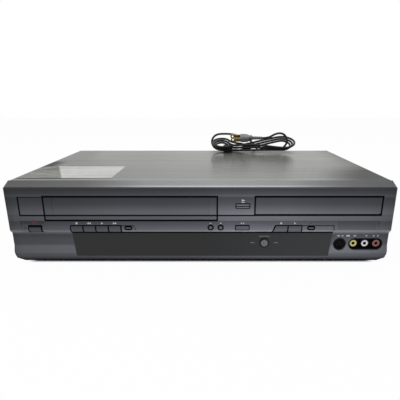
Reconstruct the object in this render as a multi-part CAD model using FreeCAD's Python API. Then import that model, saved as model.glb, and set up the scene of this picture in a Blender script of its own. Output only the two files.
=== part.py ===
import FreeCAD, Part
import math
import os

from FreeCAD import Vector

# Overall sizes, in millimetres. X is to the right seen from the front, Y to the back, Z up.
width = 435.0
height = 99.5
depth = 240.0

# Sheet steel case
sheet = 1.0
bend_inside = 1.0
cover_width = 428.0
cover_setback = 6.5
chassis_bottom = 8.0
side_flange = 12.0
rear_lip = 9.0
seam = 0.1
side_slot_length = 26.0
side_slot_height = 3.0
side_slot_columns = 3
side_slot_rows = 4
side_slot_column_pitch = 34.0
side_slot_row_pitch = 7.0
side_slot_first_y = -40.0

# Front bezel
wall = 2.5
bezel_slope_depth = 7.6
face_top = 92.6
face_bottom = 43.0
bezel_bottom = 4.5
skirt_depth = 10.0
skirt_wall = 2.0
step_depth = 4.0
step_bottom = 38.0
lower_wall = 3.0
lower_flat_bottom = 23.0
lip_top = 12.8
lip_forward = 1.2
lip_back = 2.6
lower_half = 217.0
lower_land = 5.0
end_slant_top = 16.0
end_slant_low = 8.0
end_slant_inset = 2.2
end_foot_inset = 11.0
face_edge_round = 1.2
face_land = 1.6
panel_gap = 0.9
groove_depth = 0.8
band_depth = 1.0

# Places on the face, from the middle of the recorder and from the table
door_left = -175.6
door_right = 19.3
door_bottom = 54.8
door_top = 82.4
tray_left = 60.7
tray_right = 203.5
tray_bottom = 61.4
tray_corner = 3.5
groove_z = 61.0
blank_left = -203.3
band_right = 202.5
band_top = 54.2

# Keys and buttons
key_proud = 0.5
key_travel = 0.7
key_gap = 0.7
key_top = 48.8
key_bottom = 40.6
key_back = 3.2
key_notch_depth = 4.6
key_round = 0.6
stem_height = 2.2
stem_width = 4.0
switch_slack = 0.3
power_key_left = -195.4
power_key_width = 15.0
tape_row_left = -147.8
tape_key_pitch = 14.4
tape_key_count = 4
disc_row_left = 81.6
disc_key_slant = 3.6
disc_key_split = 99.3
disc_row_right = 115.2
record_panel_slant = 3.5
tape_record_panel_right = -72.3
disc_record_panel_right = 152.3
tape_record_x = -82.0
disc_record_x = 125.8
record_z = 45.6
record_length = 6.8
record_height = 2.6
record_ring = 0.9
channel_down_x = 11.5
channel_up_x = 22.9
channel_z = 46.2
channel_radius = 2.3
channel_ring = 0.7
dubbing_x = 47.5
dubbing_z = 46.1
tray_button_x = 47.5
tray_button_z = 71.9
wide_button_length = 15.2
wide_button_height = 5.0
lamp_x = -199.5
lamp_z = 46.0
lamp_radius = 1.0

# Cassette door
door_sheet = 2.2
lug_sheet = 3.0
lug_radius = 2.4
hinge_pin_radius = 1.5

# Display window and the front sockets
window_top = 38.3
window_bottom = 10.8
window_top_left = -147.8
window_top_right = 151.8
window_slant = 3.6
window_top_back = 3.5
window_bottom_back = 0.9
window_thickness = 2.4
window_ledge = 4.0
window_play = 0.15
input_x = 73.5
input_z = 26.7
input_radius = 4.9
input_ring = 0.8
s_video_x = 161.4
s_video_z = 24.4
s_video_radius = 7.2
jack_recess_left = 171.6
jack_recess_right = 211.4
jack_recess_height = 14.4
jack_z = 24.5
jack_pitch = 13.3
jack_radius = 4.15
jack_shell_wall = 0.4
jack_pin_radius = 1.6
first_jack_x = 178.2
jack_front_setback = 6.0
jack_floor_setback = 11.5

# Front board behind the keys
board = 1.6
front_board_setback = 13.0
front_board_left = -205.0
front_board_right = 208.0
front_board_bottom = 14.0
front_board_top = 50.0
pillar_z = 42.0
pillar_radius = 3.0
switch_size = 6.0
switch_body = 1.6
switch_plunger = 0.6

# Feet and screws
foot_radius = 14.0
foot_top_radius = 12.5
foot_x = 172.0
foot_inset = 38.0
screw_radius = 3.4
screw_head = 1.4
screw_shank = 1.5
side_screw_front = 49.9
side_screw_back = 41.5
rear_screw_pitch = 150.0

# Clearances
clear = 0.3
running = 0.05

# Tape deck
cassette_width = 187.0
cassette_height = 25.0
deck_height = 30.0
deck_sheet = 1.5
deck_front = 20.0
deck_back = depth - 26.0
holder_front = 18.0
holder_length = 100.0
holder_sheet = 1.2
holder_play = 0.9
holder_in = 22.0
holder_down = 19.0
holder_ledge = 8.0
slider_sheet = 1.6
frame_sheet = 1.2
reel_spacing = 92.5
reel_y = 90.0
reel_table_radius = 23.0
reel_hub_radius = 8.5
reel_spindle_radius = 3.6
reel_top = 45.5
reel_pin_radius = 1.5
drum_radius = 31.0
drum_setback = depth - 64.0
drum_base_height = 21.0
drum_height = 19.0
drum_tilt = 5.0
drum_shaft_radius = 2.5
capstan_x = 62.0
capstan_setback = depth - 82.0
capstan_radius = 1.5
flywheel_radius = 26.0
flywheel_thickness = 7.0
post_radius = 2.5
frame_front = 42.0
frame_top = 87.0
slider_top = 84.5
holder_floor = 55.0
holder_pin_z = 70.0
guide_pin = 1.8
guide_z = 79.0

# Disc drive
drive_wall = 1.6
drive_floor = 52.0
drive_top = 87.0
drive_front = 12.0
drive_ear = 3.0
drive_back = 190.0
tray_length = 168.0
tray_plate = 4.0
tray_side = 3.0
tray_surface = 75.0
disc_radius = 60.0
disc_recess = 1.6
disc_margin = 9.0
tray_skirt = 5.0
tray_slot_half = 20.0
small_disc_radius = 40.0
turntable_radius = 14.5
turntable_hub_radius = 7.4
disc_plane = 75.8
traverse_thickness = 3.0
traverse_z = 67.6
traverse_drop = 6.3
traverse_pin_radius = 1.5
axle_radius = 1.5
rail_radius = 1.5
rail_spacing = 34.0
pickup_start = 18.5
pickup_length = 20.0
pickup_stroke = 34.0
clamp_radius = 15.0
clamp_neck_radius = 12.7
clamp_gap = 0.6
clamp_pocket_radius = 9.6
dish_radius = 21.0
dish_floor = 80.4
bridge_sheet = 1.2

# Rear sockets, fan and boards
main_board_height = 14.0
main_board_left = -208.0
main_board_right = 52.0
main_board_front = 30.0
power_board_left = 60.0
power_board_right = 208.0
power_board_front = 112.0
board_rear_gap = 2.0
transformer_width = 32.0
transformer_length = 28.0
transformer_height = 27.0
transformer_inset = 26.0
winding_gap = 3.0
capacitor_radius = 11.0
capacitor_height = 30.0
second_capacitor_radius = 8.0
second_capacitor_height = 22.0
small_capacitor_radius = 3.5
small_capacitor_height = 9.0
small_capacitor_pitch = 12.0
capacitor_inset = 32.0
heat_sink_width = 18.2
heat_sink_length = 28.0
heat_sink_height = 28.0
heat_sink_fins = 6
fin_thickness = 1.2
boss_radius = 4.0
board_post_radius = 3.0
fan_size = 40.0
fan_thickness = 10.0
fan_x = 38.0
fan_z = 62.0
fan_hub_radius = 11.0
blade_count = 7
rear_jack_x = -130.0
rear_jack_columns = 4
rear_jack_rows = 2
rear_jack_pitch = 14.0
rear_jack_z = 22.0
aerial_x = -193.5
aerial_radius = 4.75
aerial_low = 28.0
aerial_spacing = 22.0

# Mains cord, hank and plug
cord = 3.4
cord_exit_x = 118.0
cord_exit_z = 30.0
relief_length = 20.0
relief_root_radius = 5.2
relief_tip_radius = 3.2
hank_left = 21.0
hank_right = 144.0
hank_half = 9.0
hank_right_reach = 11.0
hank_left_reach = 10.0
hank_right_growth = 3.5
hank_left_growth = 2.5
hank_back_growth = 1.0
hank_front_growth = 2.6
hank_upper_step = 4.5
hank_lower_step = 3.3
hank_right_lift = 13.0
hank_left_lift = 8.5
hank_front_lift = 1.2
hank_tie = 4.6
hank_tie_x = 50.0
hank_turns = 3
hank_gap = 0.8
hank_setback = 17.5
hank_start_x = 34.3
hank_start_offset = 8.0
hank_end_x = 114.8
hank_end_lift = 3.7
arch_radius = 13.5
plug_length = 15.5
plug_wide = 17.0
plug_thick = 9.5
plug_roll = 20.0
plug_x = 61.0
blade_length = 16.0
blade_width = 6.3
blade_thickness = 1.5
blade_spacing = 12.7

# Places that follow from the sizes
face = -depth / 2 + key_proud
cover_front = face + bezel_slope_depth
cover_rear = depth / 2 - cover_setback
lip_front = cover_rear - sheet
panel_back = lip_front - seam
panel_front = panel_back - sheet
half_cover = cover_width / 2
cover_inside = half_cover - sheet
roof = height - sheet
floor_top = chassis_bottom + sheet
deck_x = (door_left + door_right) / 2
tray_x = (tray_left + tray_right) / 2
deck_top = deck_height + deck_sheet
board_top = main_board_height + board
ledge_top = face_bottom + wall - 0.3
key_stem_z = face_bottom + 3.8
hinge_y = face + 5.6
hinge_z = 87.2
reel_row = face + reel_y
drum_y = face + drum_setback
capstan_y = face + capstan_setback
holder_outer = cassette_width / 2 + holder_play + holder_sheet
slider_outer = holder_outer + clear + slider_sheet
tray_half = 65.0
disc_y = face + 4 + disc_margin + disc_radius
traverse_half = 48.0
traverse_hinge_y = disc_y + 82
hank_y = cover_rear - hank_setback
hank_low = height + clear + cord / 2
hank_pitch = cord + hank_gap
plug_z = hank_low + hank_turns * hank_pitch + cord / 2 + clear + 6.9
plug_tail_x = plug_x + plug_length + 21.0


def box(x0, x1, y0, y1, z0, z1):
    return Part.makeBox(x1 - x0, y1 - y0, z1 - z0, Vector(x0, y0, z0))


def rod_x(x0, x1, y, z, radius):
    return Part.makeCylinder(radius, x1 - x0, Vector(x0, y, z), Vector(1, 0, 0))


def rod_y(y0, y1, x, z, radius):
    return Part.makeCylinder(radius, y1 - y0, Vector(x, y0, z), Vector(0, 1, 0))


def rod_z(z0, z1, x, y, radius):
    return Part.makeCylinder(radius, z1 - z0, Vector(x, y, z0), Vector(0, 0, 1))


def prism_x(outline, x0, x1):
    wire = Part.makePolygon([Vector(x0, y, z) for y, z in outline + outline[:1]])
    return Part.Face(wire).extrude(Vector(x1 - x0, 0, 0))


def prism_y(outline, y0, y1):
    wire = Part.makePolygon([Vector(x, y0, z) for x, z in outline + outline[:1]])
    return Part.Face(wire).extrude(Vector(0, y1 - y0, 0))


def round_rect(place, x0, x1, z0, z1, corners):
    """Wire of a rectangle with its corner radii in the order low left, low right, top right, top left."""
    low_left, low_right, top_right, top_left = corners
    turns = [
        (x0, z0, low_left, 1, 1),
        (x1, z0, low_right, -1, 1),
        (x1, z1, top_right, -1, -1),
        (x0, z1, top_left, 1, -1),
    ]
    ends = []
    for index, (x, z, radius, right, up) in enumerate(turns):
        along_x = (x + right * radius, z)
        along_z = (x, z + up * radius)
        middle = (x + right * radius * (1 - math.sqrt(0.5)), z + up * radius * (1 - math.sqrt(0.5)))
        first, last = (along_z, along_x) if index % 2 == 0 else (along_x, along_z)
        ends.append((first, middle, last, radius))
    edges = []
    for index, (first, middle, last, radius) in enumerate(ends):
        if radius > 0:
            edges.append(Part.Arc(place(*first), place(*middle), place(*last)).toShape())
        edges.append(Part.LineSegment(place(*last), place(*ends[(index + 1) % 4][0])).toShape())
    return Part.Wire(edges)


def plate_y(x0, x1, z0, z1, y0, y1, corners):
    """Plate that faces the front, with rounded corners."""
    if not isinstance(corners, tuple):
        corners = (corners,) * 4
    wire = round_rect(lambda x, z: Vector(x, y0, z), x0, x1, z0, z1, corners)
    return Part.Face(wire).extrude(Vector(0, y1 - y0, 0))


def plate_z(x0, x1, y0, y1, z0, z1, radius):
    """Plate that faces up, with rounded corners."""
    wire = round_rect(lambda x, y: Vector(x, y, z0), x0, x1, y0, y1, (radius,) * 4)
    return Part.Face(wire).extrude(Vector(0, 0, z1 - z0))


def plate_x(y0, y1, z0, z1, x0, x1, radius):
    """Plate that faces the side, with rounded corners."""
    wire = round_rect(lambda y, z: Vector(x0, y, z), y0, y1, z0, z1, (radius,) * 4)
    return Part.Face(wire).extrude(Vector(x1 - x0, 0, 0))


def capsule_y(x0, x1, z0, z1, y0, y1):
    """Bar across the front with half round ends."""
    return plate_y(x0, x1, z0, z1, y0, y1, (z1 - z0) / 2 - 0.001)


def loft(front, back):
    return Part.makeLoft([front, back], True, True)


def flat_rect(x0, x1, z0, z1, y):
    return round_rect(lambda x, z: Vector(x, y, z), x0, x1, z0, z1, (0,) * 4)


def soften_front(shape, y, radius):
    """Round the edges that lie in the plane at y."""
    edges = []
    for edge in shape.Edges:
        bounds = edge.BoundBox
        if abs(bounds.YMin - y) < 0.001 and abs(bounds.YMax - y) < 0.001:
            edges.append(edge)
    return shape.makeFillet(radius, edges)


def roof_edges(shape, z):
    """The two long edges along the top of a case part."""
    return [edge for edge in shape.Edges if edge.BoundBox.ZMin > z - 0.01 and edge.BoundBox.YLength > 5]


# Front bezel

def lower_profile(offset, top):
    """Side outline of the lower front, from the step down to the lip, offset to the back."""
    back = face + skirt_depth + bezel_slope_depth
    return [
        (face + step_depth + offset, top),
        (face + step_depth + offset, lower_flat_bottom),
        (face + lip_forward + offset, lip_top),
        (face + lip_back + offset, bezel_bottom + offset),
        (back, bezel_bottom + offset),
        (back, top),
    ]


def lower_plan(rear_half, slope_back):
    """Room of the lower front seen from above: its ends slope in to the cover."""
    corners = [
        (-lower_half, face - 1),
        (lower_half, face - 1),
        (lower_half, face + lower_land),
        (rear_half, slope_back),
        (-rear_half, slope_back),
        (-lower_half, face + lower_land),
    ]
    wire = Part.makePolygon([Vector(x, y, bezel_bottom) for x, y in corners + corners[:1]])
    return Part.Face(wire).extrude(Vector(0, 0, face_bottom + 2 - bezel_bottom))


def lower_outline():
    """Room of the lower front seen from the front: its ends slant in above the table."""
    foot_half = lower_half - end_foot_inset
    slant_half = lower_half - end_slant_inset
    outline = [
        (-foot_half, bezel_bottom),
        (foot_half, bezel_bottom),
        (slant_half, end_slant_low),
        (lower_half, end_slant_top),
        (lower_half, face_bottom + 2),
        (-lower_half, face_bottom + 2),
        (-lower_half, end_slant_top),
        (-slant_half, end_slant_low),
    ]
    return prism_y(outline, face - 1, face + bezel_slope_depth)


def bezel_body():
    half = width / 2
    rear_half = half_cover + 0.3
    slope_back = face + bezel_slope_depth
    land = box(-half, half, face, face + face_land, face_bottom, face_top)
    slopes = loft(
        flat_rect(-half, half, face_bottom, face_top, face + face_land),
        flat_rect(-rear_half, rear_half, face_bottom, height, slope_back),
    )
    upper = soften_front(land.fuse(slopes).removeSplitter(), face, face_edge_round)
    step = prism_x(
        [
            (face, face_bottom),
            (face, face_bottom + 2),
            (slope_back, face_bottom + 2),
            (slope_back, step_bottom),
            (face + step_depth, step_bottom),
        ],
        -lower_half,
        lower_half,
    )
    lower = step.fuse(prism_x(lower_profile(0, face_bottom + 2), -lower_half, lower_half))
    lower = lower.common(lower_plan(rear_half, slope_back)).common(lower_outline())
    skirt = box(
        -cover_inside + seam, cover_inside - seam, slope_back, slope_back + skirt_depth,
        floor_top + seam, roof - seam,
    )
    skirt = skirt.makeFillet(bend_inside + seam, roof_edges(skirt, roof - seam))
    return upper.fuse([lower, skirt])


def bezel_void():
    """Room behind the face, as wide at the back as the inside of the skirt."""
    slope_back = face + bezel_slope_depth
    inner_half = cover_inside - seam - skirt_wall
    top_at_back = roof - seam - skirt_wall
    floor_z = face_bottom + wall - 0.3
    upper = loft(
        flat_rect(-inner_half, inner_half, floor_z, face_top - wall, face + wall),
        flat_rect(-inner_half, inner_half, floor_z, top_at_back, slope_back),
    )
    behind = box(
        -inner_half, inner_half, slope_back, slope_back + skirt_depth + 1,
        floor_top + seam + skirt_wall, top_at_back,
    )
    lower = prism_x(
        [
            (face + step_depth + lower_wall, step_bottom - wall),
            (face + step_depth + lower_wall, lower_flat_bottom - 1),
            (face + lip_forward + lower_wall + 1.2, lip_top - 1),
            (face + lip_back + lower_wall, floor_top + seam + skirt_wall),
            (slope_back + 1, floor_top + seam + skirt_wall),
            (slope_back + 1, step_bottom - wall),
        ],
        -inner_half,
        inner_half,
    )
    return [upper, behind, lower]


def face_grooves():
    """Fine lines that outline the fixed panels beside the doors."""
    half = panel_gap / 2
    bottom = face + groove_depth
    return [
        box(blank_left, door_left, face - 1, bottom, groove_z - half, groove_z + half),
        box(blank_left, door_left, face - 1, bottom, door_top - panel_gap, door_top),
        box(blank_left, blank_left + panel_gap, face - 1, bottom, groove_z, door_top),
        box(door_right, tray_left, face - 1, bottom, groove_z - half, groove_z + half),
        box(door_right, tray_left, face - 1, face + 0.3, door_top - panel_gap, door_top),
    ]


def key_band():
    """Shallow slanted panel that carries the keys, deepest along its top."""
    return prism_x(
        [(face - 1, band_top), (face + band_depth, band_top), (face, face_bottom), (face - 1, face_bottom)],
        blank_left,
        band_right,
    )


def key_notch(x0, x1, slant_left=0.0, slant_right=0.0):
    """Opening for keys along the lower edge of the face."""
    outline = [(x0, key_bottom - 1), (x1, key_bottom - 1), (x1 - slant_right, key_top), (x0 + slant_left, key_top)]
    return prism_y(outline, face - 1, face + key_notch_depth)


def record_panel_lines():
    """Fine lines over the fixed panels that hold the two record buttons."""
    tape_left = tape_row_left + tape_key_count * tape_key_pitch
    bottom = face + groove_depth + 0.3
    slope = record_panel_slant
    slanted = [
        (tape_record_panel_right - slope, key_top),
        (tape_record_panel_right - slope - panel_gap, key_top),
        (tape_record_panel_right - panel_gap, key_bottom),
        (tape_record_panel_right, key_bottom),
    ]
    top_line = [face - 1, bottom, key_top - panel_gap, key_top]
    return [
        box(tape_left, tape_record_panel_right - slope, *top_line),
        prism_y(slanted, face - 1, bottom),
        box(disc_row_right, disc_record_panel_right, *top_line),
        box(disc_record_panel_right - panel_gap, disc_record_panel_right, face - 1, bottom, key_bottom, key_top),
    ]


def window_outline(grow):
    """Corners of the smoked window, grown on every side."""
    left = window_top_left - grow
    right = window_top_right + grow
    return [
        (left + window_slant, window_bottom - grow),
        (right - window_slant, window_bottom - grow),
        (right, window_top + grow),
        (left, window_top + grow),
    ]


def window_sheet(front_shift, back_shift, grow=2.0):
    """Slab that leans like the window, between two distances from its front plane."""
    low = window_bottom - grow
    high = window_top + grow
    lean = (window_top_back - window_bottom_back) / (window_top - window_bottom)
    low_y = face + window_bottom_back - lean * grow
    high_y = face + window_top_back + lean * grow
    outline = [
        (low_y + front_shift, low),
        (high_y + front_shift, high),
        (high_y + back_shift, high),
        (low_y + back_shift, low),
    ]
    return prism_x(outline, -width / 2, width / 2)


def window_pocket():
    outer = prism_y(window_outline(window_play), face - 5, face + 12)
    pocket = outer.common(window_sheet(-8, window_thickness + 0.02))
    inner = prism_y(window_outline(-window_ledge), face - 1, face + 14)
    return [pocket, inner]


def door_ears():
    """Plates behind the face that hold the cassette door's pins."""
    ears = []
    for x0, x1 in ((door_left - 3.6, door_left - 0.6), (door_right + 0.6, door_right + 3.6)):
        ear = box(x0, x1, face + wall - 0.5, hinge_y + 4, hinge_z - 4, hinge_z + 4)
        ears.append(ear.cut(rod_x(x0 - 1, x1 + 1, hinge_y, hinge_z, hinge_pin_radius + running)))
    return ears


def front_bezel():
    body = bezel_body().cut(bezel_void())
    cuts = [
        box(door_left, door_right, face - 1, face + 8, door_bottom, door_top),
        plate_y(tray_left, tray_right, tray_bottom, door_top, face - 1, face + 8, (0.5, tray_corner, 0.5, 0.5)),
        key_band(),
        key_notch(tape_row_left, tape_row_left + tape_key_count * tape_key_pitch),
        key_notch(power_key_left, power_key_left + power_key_width),
        key_notch(disc_row_left, disc_row_right, slant_left=disc_key_slant),
        rod_y(face - 1, face + 8, lamp_x, lamp_z, lamp_radius + 0.1),
        rod_y(face - 1, face + 9, s_video_x, s_video_z, s_video_radius + clear),
        capsule_y(
            jack_recess_left, jack_recess_right, jack_z - jack_recess_height / 2,
            jack_z + jack_recess_height / 2, face - 1, face + front_board_setback + clear,
        ),
    ]
    for x, z, length, tall, ring in small_buttons():
        cuts.append(button_shape(x, z, length + 2 * ring, tall + 2 * ring, face - 1, face + 9))
    body = body.cut(cuts + face_grooves() + record_panel_lines() + window_pocket())
    body = body.fuse(door_ears())
    pillars = []
    for x in (-165.0, -20.0, 140.0):
        pillars.append(rod_y(face + step_depth + 1, face + front_board_setback, x, pillar_z, pillar_radius))
    return body.fuse(pillars).removeSplitter()


def small_buttons():
    """Centre, length, height and dark ring of each button that stands in its own hole."""
    return [
        (tape_record_x, record_z, record_length, record_height, record_ring),
        (disc_record_x, record_z, record_length, record_height, record_ring),
        (channel_down_x, channel_z, 2 * channel_radius, 2 * channel_radius, channel_ring),
        (channel_up_x, channel_z, 2 * channel_radius, 2 * channel_radius, channel_ring),
        (dubbing_x, dubbing_z, wide_button_length, wide_button_height, key_gap),
        (tray_button_x, tray_button_z, wide_button_length, wide_button_height, key_gap),
    ]


def button_shape(x, z, length, tall, y0, y1):
    """Round when as long as it is tall, a capsule when short, else a rounded bar."""
    if abs(length - tall) < 0.01:
        return rod_y(y0, y1, x, z, length / 2)
    corner = 1.0 if length > 12 else tall / 2 - 0.001
    return plate_y(x - length / 2, x + length / 2, z - tall / 2, z + tall / 2, y0, y1, corner)


# Doors and buttons on the face

def cassette_door():
    left = door_left + panel_gap
    right = door_right - panel_gap
    bottom = door_bottom + panel_gap
    top = door_top - panel_gap
    plate = plate_y(left, right, bottom, top, face, face + door_sheet, 0.4)
    plate = soften_front(plate, face, 0.5)
    half = panel_gap / 2
    plate = plate.cut([
        box(left - 1, right + 1, face - 1, face + groove_depth, groove_z - half, groove_z + half),
        box(left + 9.0, left + 9.5, face - 1, face + 0.3, groove_z + 1, top - 1),
        box(right - 9.5, right - 9.0, face - 1, face + 0.3, groove_z + 1, top - 1),
    ])
    back = face + door_sheet
    ribs = [box(x - 0.6, x + 0.6, back, back + 1.4, bottom + 2, top - 3) for x in door_rib_places()]
    pieces = []
    for side, edge in ((1, left), (-1, right)):
        inner = edge + side * lug_sheet
        outline = [
            (back - 0.1, top - 9),
            (back - 0.1, top - 1.5),
            (back + 1.1, top - 0.3),
            (hinge_y - lug_radius, hinge_z),
            (hinge_y, hinge_z + lug_radius),
            (hinge_y + lug_radius, hinge_z),
            (back + 2.5, top - 9),
        ]
        pieces.append(prism_x(outline, min(edge, inner), max(edge, inner)))
        tip = edge - side * (panel_gap + 0.6 + 2.0)
        pieces.append(rod_x(min(tip, edge), max(tip, edge), hinge_y, hinge_z, hinge_pin_radius))
    return plate.fuse(ribs + pieces).removeSplitter()


def door_rib_places():
    span = door_right - door_left - 40
    return [door_left + 20 + span * step / 5 for step in range(6)]


def tray_front():
    x0 = tray_left + panel_gap
    x1 = tray_right - panel_gap
    z0 = tray_bottom + panel_gap
    z1 = door_top - panel_gap
    plate = plate_y(x0, x1, z0, z1, face, face + wall, (0.4, tray_corner - panel_gap, 0.4, 0.4))
    plate = soften_front(plate, face, 0.5)
    rim = plate_y(x0 + 1.5, x1 - 1.5, z0 + 1.5, z1 - 1.5, face + wall, face + 4, 0.4)
    hollow = plate_y(x0 + 3, x1 - 3, z0 + 3, z1 - 3, face + wall, face + 4, 0.4)
    return plate.fuse(rim.cut(hollow)).removeSplitter()


def stem(x, z):
    """Square pusher that runs from a key back towards its switch."""
    end = face + front_board_setback - switch_body - switch_plunger - key_travel - switch_slack
    return box(
        x - stem_width / 2, x + stem_width / 2, face + 1, end, z - stem_height / 2, z + stem_height / 2,
    )


def edge_key(x0, x1, slant=0.0):
    """Key that wraps round the lower edge of the face."""
    front = face - key_proud
    top = key_top - key_gap
    side = prism_x(
        [
            (front + key_round, top),
            (front, top - key_round),
            (front, face_bottom + 0.3),
            (face + 1.5, key_bottom),
            (face + key_back, key_bottom),
            (face + key_back, top),
        ],
        x0,
        x1,
    )
    if slant:
        outline = [(x0, key_bottom - 1), (x1, key_bottom - 1), (x1, key_top + 1), (x0 + slant, key_top + 1)]
        side = side.common(prism_y(outline, face - 5, face + 5))
    middle = (x0 + x1) / 2 + slant / 3
    return side.fuse(stem(middle, key_stem_z)).removeSplitter()


def tape_key(index):
    left = tape_row_left + index * tape_key_pitch
    return edge_key(left + key_gap / 2, left + tape_key_pitch - key_gap / 2)


def hole_button(x, z, length, tall, proud, ridge=False):
    """Button that stands in its own hole, with a flange behind the face."""
    front = face - proud
    cap = button_shape(x, z, length, tall, front, face + wall + 0.6)
    cap = soften_front(cap, front, 0.4)
    if ridge:
        cap = cap.cut(box(x - length, x + length, front - 1, front + 0.35, z - 0.25, z + 0.25))
    flange_low = max(z - tall / 2 - 1.3, ledge_top + clear)
    flange = box(
        x - length / 2 - 1.3, x + length / 2 + 1.3, face + wall + clear, face + wall + 1.3,
        flange_low, z + tall / 2 + 1.3,
    )
    return cap.fuse([flange, stem(x, z)]).removeSplitter()


def input_button():
    front = face + window_bottom_back
    cap = soften_front(rod_y(front, face + 6, input_x, input_z, input_radius), front, 0.5)
    flange = rod_y(face + 6, face + 7.2, input_x, input_z, input_radius + 1.5)
    return cap.fuse([flange, stem(input_x, input_z)]).removeSplitter()


def display_window():
    outline = prism_y(window_outline(0), face - 5, face + 12)
    window = outline.common(window_sheet(0, window_thickness))
    return window.cut(rod_y(face - 5, face + 12, input_x, input_z, input_radius + input_ring))


def standby_lamp():
    back = face + front_board_setback
    body = rod_y(face + 0.2, back, lamp_x, lamp_z, lamp_radius)
    return body.fuse(rod_y(back - 3, back, lamp_x, lamp_z, lamp_radius + 0.5)).removeSplitter()


def switch_places():
    """Where a key or button presses on the front board."""
    places = [((power_key_left + power_key_width / 2), key_stem_z)]
    for index in range(tape_key_count):
        places.append((tape_row_left + (index + 0.5) * tape_key_pitch, key_stem_z))
    places.append(((disc_row_left + disc_key_split) / 2 + disc_key_slant / 3, key_stem_z))
    places.append(((disc_key_split + disc_row_right) / 2, key_stem_z))
    places += [(x, z) for x, z, length, tall, ring in small_buttons()]
    places.append((input_x, input_z))
    return places


def front_board():
    y0 = face + front_board_setback
    sheet_part = box(front_board_left, front_board_right, y0, y0 + board, front_board_bottom, front_board_top)
    tab = box(tray_button_x - 9, tray_button_x + 9, y0, y0 + board, front_board_top, tray_button_z + 5)
    solids = [sheet_part.fuse(tab).removeSplitter()]
    half = switch_size / 2
    for x, z in switch_places():
        body = box(x - half, x + half, y0 - switch_body, y0, z - half, z + half)
        plunger = rod_y(y0 - switch_body - switch_plunger, y0 - switch_body, x, z, 1.5)
        solids.append(body.fuse(plunger))
    solids.append(display_tube(y0))
    return solids


def display_tube(board_front):
    """Glass display that lights the middle of the window."""
    glass = box(-50, 50, board_front - 4.5, board_front, 16, 34)
    return soften_front(glass, board_front - 4.5, 1.0)


# Front sockets

def s_video_socket():
    front = face + 4.4
    body = rod_y(front, face + front_board_setback, s_video_x, s_video_z, s_video_radius)
    groove = rod_y(front - 1, front + 5, s_video_x, s_video_z, 4.9)
    groove = groove.cut(rod_y(front - 1, front + 5, s_video_x, s_video_z, 4.1))
    holes = [groove, box(s_video_x - 1.1, s_video_x + 1.1, front - 1, front + 4, s_video_z - 3.4, s_video_z - 2.3)]
    for x, z in ((-2.4, 0.2), (2.4, 0.2), (-1.5, 2.4), (1.5, 2.4)):
        holes.append(rod_y(front - 1, front + 4, s_video_x + x, s_video_z + z, 0.55))
    return body.cut(holes)


def jack_places():
    return [first_jack_x + index * jack_pitch for index in range(3)]


def front_jack_block():
    half = jack_recess_height / 2 - clear
    back = face + front_board_setback
    floor_y = face + jack_floor_setback
    body = capsule_y(
        jack_recess_left + clear, jack_recess_right - clear, jack_z - half, jack_z + half, face + 4.4, back,
    )
    room = capsule_y(
        jack_recess_left + clear + 1, jack_recess_right - clear - 1, jack_z - half + 1, jack_z + half - 1,
        face + 3, floor_y,
    )
    body = body.cut(room)
    seats = [rod_y(floor_y - 0.5, back + 1, x, jack_z, jack_radius - jack_shell_wall) for x in jack_places()]
    return body.cut(seats)


def front_jack_tubes():
    front = face + jack_front_setback
    back = face + jack_floor_setback
    tubes = []
    for x in jack_places():
        tube = rod_y(front, back, x, jack_z, jack_radius)
        tubes.append(tube.cut(rod_y(front, back, x, jack_z, jack_radius - jack_shell_wall)))
    return tubes


def jack_insulator(index):
    x = jack_places()[index]
    front = face + jack_front_setback + 0.2
    back = face + front_board_setback
    body = rod_y(front, back, x, jack_z, jack_radius - jack_shell_wall)
    return body.cut(rod_y(front, back - 2, x, jack_z, jack_pin_radius))


# Steel case

def slot_grid():
    """Middle of each slot in the sides of the cover, as distances to the back and up."""
    places = []
    for column in range(side_slot_columns):
        for row in range(side_slot_rows):
            places.append((side_slot_first_y + column * side_slot_column_pitch, 58.0 + row * side_slot_row_pitch))
    return places


def top_cover():
    outer = box(-half_cover, half_cover, cover_front + seam, cover_rear, chassis_bottom, height)
    outer = outer.makeFillet(bend_inside + sheet, roof_edges(outer, height))
    inner = box(-cover_inside, cover_inside, cover_front - 1, cover_rear + 1, 0, roof)
    shell = outer.cut(inner.makeFillet(bend_inside, roof_edges(inner, roof)))
    lip_half = cover_inside - bend_inside
    lip = box(-lip_half, lip_half, lip_front, cover_rear, roof - rear_lip, roof)
    shell = shell.fuse(lip)
    cuts = []
    for y, z in slot_grid():
        half_long = side_slot_length / 2
        half_tall = side_slot_height / 2
        for x0, x1 in ((-half_cover - 1, -cover_inside + 1), (cover_inside - 1, half_cover + 1)):
            cuts.append(plate_x(y - half_long, y + half_long, z - half_tall, z + half_tall, x0, x1, half_tall - 0.01))
    for x, y, z in side_screws():
        cuts.append(rod_x(x - 4, x + 4, y, z, screw_shank + 0.2))
    for x, z in rear_screws():
        cuts.append(rod_y(lip_front - 1, cover_rear + 1, x, z, screw_shank + 0.2))
    return shell.cut(cuts).removeSplitter()


def side_screws():
    z = chassis_bottom + side_flange / 2 + 0.5
    rows = (cover_front + side_screw_front, cover_rear - side_screw_back)
    return [(side * half_cover, y, z) for side in (-1, 1) for y in rows]


def rear_screws():
    return [(step * rear_screw_pitch, roof - rear_lip / 2) for step in (-1, 0, 1)]


def screw_along(place, direction):
    """Pan head screw whose head seats at a place and whose shank runs along a direction."""
    out = Vector(direction).multiply(-screw_head)
    head = Part.makeCone(screw_radius, screw_radius * 0.72, screw_head, Vector(place), out)
    shank = Part.makeCylinder(screw_shank, 5.0, Vector(place), Vector(direction))
    return head.fuse(shank).removeSplitter()


def cover_screws():
    screws = []
    for x, y, z in side_screws():
        side = 1 if x > 0 else -1
        screws.append(screw_along(Vector(x, y, z), Vector(-side, 0, 0)))
    for x, z in rear_screws():
        screws.append(screw_along(Vector(x, cover_rear, z), Vector(0, -1, 0)))
    return screws


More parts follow.
